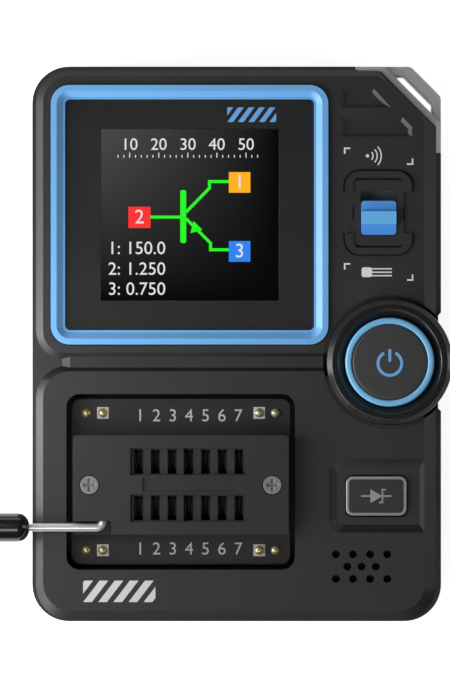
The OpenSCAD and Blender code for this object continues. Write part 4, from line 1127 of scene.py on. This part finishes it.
class TesterLooks(bpy.types.PropertyGroup):
    """Settings of the tester's looks"""

    case_colour: bpy.props.FloatVectorProperty(
        name="Case colour", description="Base colour of the covers",
        default=FINISHES["case_plastic"][0], min=0.0, max=1.0, subtype="COLOR")
    accent_colour: bpy.props.FloatVectorProperty(
        name="Accent colour", description="Base colour of the display frame",
        default=FINISHES["blue_plastic"][0], min=0.0, max=1.0, subtype="COLOR")
    print_lift: bpy.props.FloatProperty(
        name="Print lift", description="How far printed marks stand above their face, in millimetres",
        default=0.015, min=0.005, max=0.05, precision=3)
    print_thickness: bpy.props.FloatProperty(
        name="Print thickness", description="Thickness of the printed marks, in millimetres",
        default=0.03, min=0.01, max=0.1, precision=3)
    screen_brightness: bpy.props.FloatProperty(
        name="Screen brightness", description="Strength of the lit elements of the screen",
        default=1.0, min=0.0, max=5.0, subtype="FACTOR")
    key_level: bpy.props.FloatProperty(
        name="Key light", description="Level of the lamps at the left",
        default=1.0, min=0.0, max=10.0, subtype="FACTOR")
    fill_level: bpy.props.FloatProperty(
        name="Fill light", description="Level of the lamps overhead and below the floor",
        default=1.0, min=0.0, max=10.0, subtype="FACTOR")
    edge_level: bpy.props.FloatProperty(
        name="Edge light", description="Level of the low lamps past the display end and the right side",
        default=1.0, min=0.0, max=10.0, subtype="FACTOR")


def looks():
    """The scene's settings of the tester's looks."""
    return bpy.context.scene.tester_looks


class TESTER_OT_shell(bpy.types.Operator):
    """Finish the covers, the lanyard corner and the case screws"""

    bl_idname = "tester.shell"
    bl_label = "Shell"

    def execute(self, context):
        build_shell()
        return {"FINISHED"}


class TESTER_OT_face_print(bpy.types.Operator):
    """Print the stripes and the switch marks on the face"""

    bl_idname = "tester.face_print"
    bl_label = "Face print"

    def execute(self, context):
        build_face_print(looks().print_lift, looks().print_thickness)
        return {"FINISHED"}


class TESTER_OT_display(bpy.types.Operator):
    """Finish the display frame, its panel and its lens"""

    bl_idname = "tester.display"
    bl_label = "Display"

    def execute(self, context):
        build_display()
        return {"FINISHED"}


class TESTER_OT_screen(bpy.types.Operator):
    """Light the screen's symbol and readouts"""

    bl_idname = "tester.screen"
    bl_label = "Screen"

    def execute(self, context):
        build_screen(looks().screen_brightness)
        return {"FINISHED"}


class TESTER_OT_controls(bpy.types.Operator):
    """Finish the round button, the small button and the mode switch"""

    bl_idname = "tester.controls"
    bl_label = "Controls"

    def execute(self, context):
        build_test_button()
        build_zener_button()
        build_mode_switch()
        return {"FINISHED"}


class TESTER_OT_socket(bpy.types.Operator):
    """Finish the test socket, its board and its lever"""

    bl_idname = "tester.socket"
    bl_label = "Test socket"

    def execute(self, context):
        build_socket_board(looks().print_lift, looks().print_thickness)
        build_socket()
        build_lever()
        return {"FINISHED"}


class TESTER_OT_inside(bpy.types.Operator):
    """Give the pieces inside the case their finishes"""

    bl_idname = "tester.inside"
    bl_label = "Inside"

    def execute(self, context):
        build_inside()
        return {"FINISHED"}


class TESTER_OT_stage(bpy.types.Operator):
    """Set up the floor, the lamps and the camera"""

    bl_idname = "tester.stage"
    bl_label = "Stage"

    def execute(self, context):
        build_stage({"key": looks().key_level, "fill": looks().fill_level, "edge": looks().edge_level})
        return {"FINISHED"}


OPERATORS = (TESTER_OT_shell, TESTER_OT_face_print, TESTER_OT_display, TESTER_OT_screen,
    TESTER_OT_controls, TESTER_OT_socket, TESTER_OT_inside, TESTER_OT_stage)


class TESTER_PT_looks(bpy.types.Panel):
    """Sizes and steps of the tester's looks"""

    bl_idname = "TESTER_PT_looks"
    bl_label = "Component tester"
    bl_space_type = "VIEW_3D"
    bl_region_type = "UI"
    bl_category = "Tester"

    def draw(self, context):
        column = self.layout.column()
        for name in TesterLooks.__annotations__:
            column.prop(looks(), name)
        for operator in OPERATORS:
            column.operator(operator.bl_idname)


CLASSES = (TesterLooks, *OPERATORS, TESTER_PT_looks)


def register():
    """Make the settings, the operators and the panel known."""
    for item in CLASSES:
        bpy.utils.register_class(item)
    bpy.types.Scene.tester_looks = bpy.props.PointerProperty(type=TesterLooks)


def unregister():
    """Take them away again."""
    del bpy.types.Scene.tester_looks
    for item in reversed(CLASSES):
        bpy.utils.unregister_class(item)


def main():
    """Build every group of pieces and the stage."""
    register()
    for operator in OPERATORS:
        group, name = operator.bl_idname.split(".")
        if "FINISHED" not in getattr(getattr(bpy.ops, group), name)():
            raise RuntimeError(operator.bl_label + " was not built")


if __name__ == "__main__":
    main()
